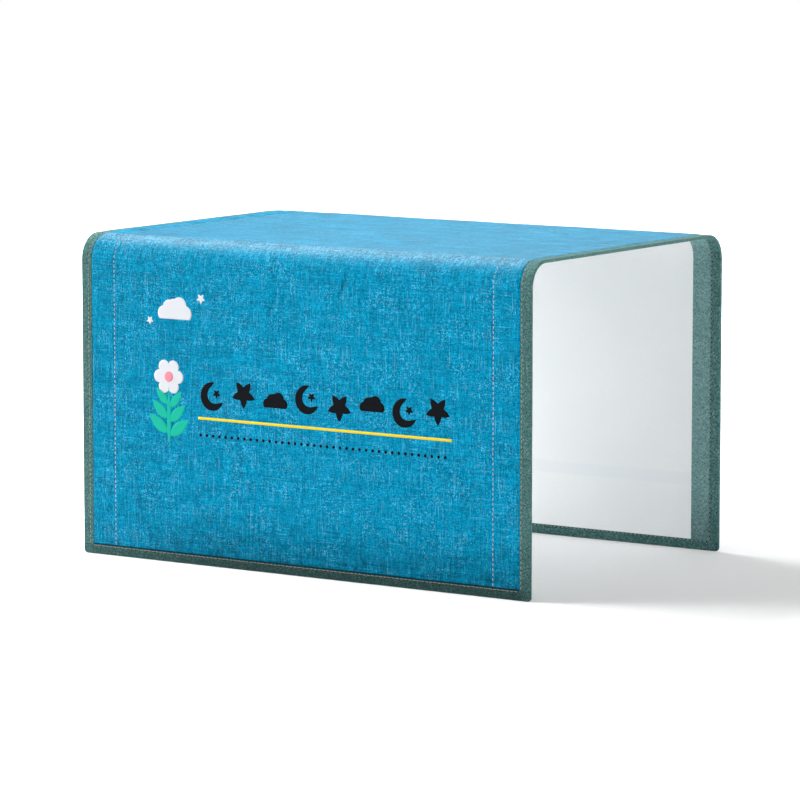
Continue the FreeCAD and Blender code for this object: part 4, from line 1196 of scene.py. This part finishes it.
def add_floor():
    """A pale floor that fades to the white of the background far from the object."""
    r = Recipe("floor", Roughness=0.9, Specular_IOR_Level=0.0)
    r.colour(r.mix(r.band(r.noise(900), 0.3, 0.7), srgb(238, 238, 238), srgb(236, 236, 237)))
    away = r.band(r.add("VectorMath", 1, {0: r.place}, operation="LENGTH"), 700, 2600, 0.22, 0.9)
    r.shader.inputs["Emission Color"].default_value = (1, 1, 1, 1)
    seen = r.add("LightPath", 0)
    r.tree.links.new(r.times(seen, away), r.shader.inputs["Emission Strength"])
    corners = np.array([(-1, -1, 0), (1, -1, 0), (1, 1, 0), (-1, 1, 0)]) * FLOOR_REACH
    floor = new_object("floor", corners, [(0, 1, 2, 3)], r.material)
    floor.location.z = -FLOOR_GAP


def add_light(name, place, target, size, watts):
    light = bpy.data.lights.new(name, "AREA")
    light.shape = "RECTANGLE"
    light.size, light.size_y = size
    light.energy = watts
    lamp = bpy.data.objects.new(name, light)
    lamp.location = place
    lamp.rotation_euler = (Vector(target) - Vector(place)).to_track_quat("-Z", "Y").to_euler()
    bpy.context.scene.collection.objects.link(lamp)


def add_world():
    """White where the camera looks, also through glass, and a plain level for light."""
    world = bpy.data.worlds.new("studio")
    world.use_nodes = True
    tree = world.node_tree
    background = tree.nodes["Background"]
    background.inputs["Color"].default_value = (1, 1, 1, 1)
    rays = [new_node(tree, "LightPath", kind) for kind in ("Is Camera Ray", "Is Transmission Ray")]
    seen = new_node(tree, "Math", 0, {0: rays[0], 1: rays[1]}, operation="MAXIMUM")
    level = new_node(tree, "MapRange", 0, {"Value": seen, "To Min": WORLD_LEVEL, "To Max": 1.0})
    tree.links.new(level, background.inputs["Strength"])
    bpy.context.scene.world = world


def add_camera():
    camera = bpy.data.cameras.new("camera")
    camera.lens = LENS
    camera.clip_end = 50.0
    holder = bpy.data.objects.new("camera", camera)
    level = math.cos(PITCH)
    back = Vector((math.sin(AZIMUTH) * level, -math.cos(AZIMUTH) * level, math.sin(PITCH)))
    holder.location = CAMERA_PLACE
    holder.rotation_euler = back.to_track_quat("Z", "Y").to_euler()
    bpy.context.scene.collection.objects.link(holder)
    bpy.context.scene.camera = holder


# Build

add_camera()
materials = slot_materials()
slots = {part["node"]: part["material_slot"] for part in frame["record"]["subparts"]}
for node, item in frame["nodes"].items():
    item.data.materials.clear()
    item.data.materials.append(materials[slots[node]])
threads = {
    "cover": thread("pale_thread", (214, 198, 206), (172, 160, 178)),
    "tape": thread("grey_thread", (158, 160, 150), (128, 134, 126)),
    "foot": thread("brown_thread", (150, 134, 124), (122, 112, 104)),
    "inner": thread("dull_thread", (142, 156, 152), (104, 122, 120)),
}
hole = needle_hole_shadow()
for half in (FRONT, REAR):
    add_cover(half, materials["blue_cloth"])
    add_tape(half, materials["grey_green_felt"])
    add_film(half, materials["white_film"])
    for far_end in ENDS:
        add_facing(half, far_end, materials["facing_felt"])
    add_stitching(half, threads, hole)
    add_lead(half, materials["cable_grey"])
add_front_print()
add_control_marks()
add_floor()
add_world()
for lamp, settings in LAMPS.items():
    add_light(lamp, *settings)

bpy.context.scene.view_settings.view_transform = "Standard"
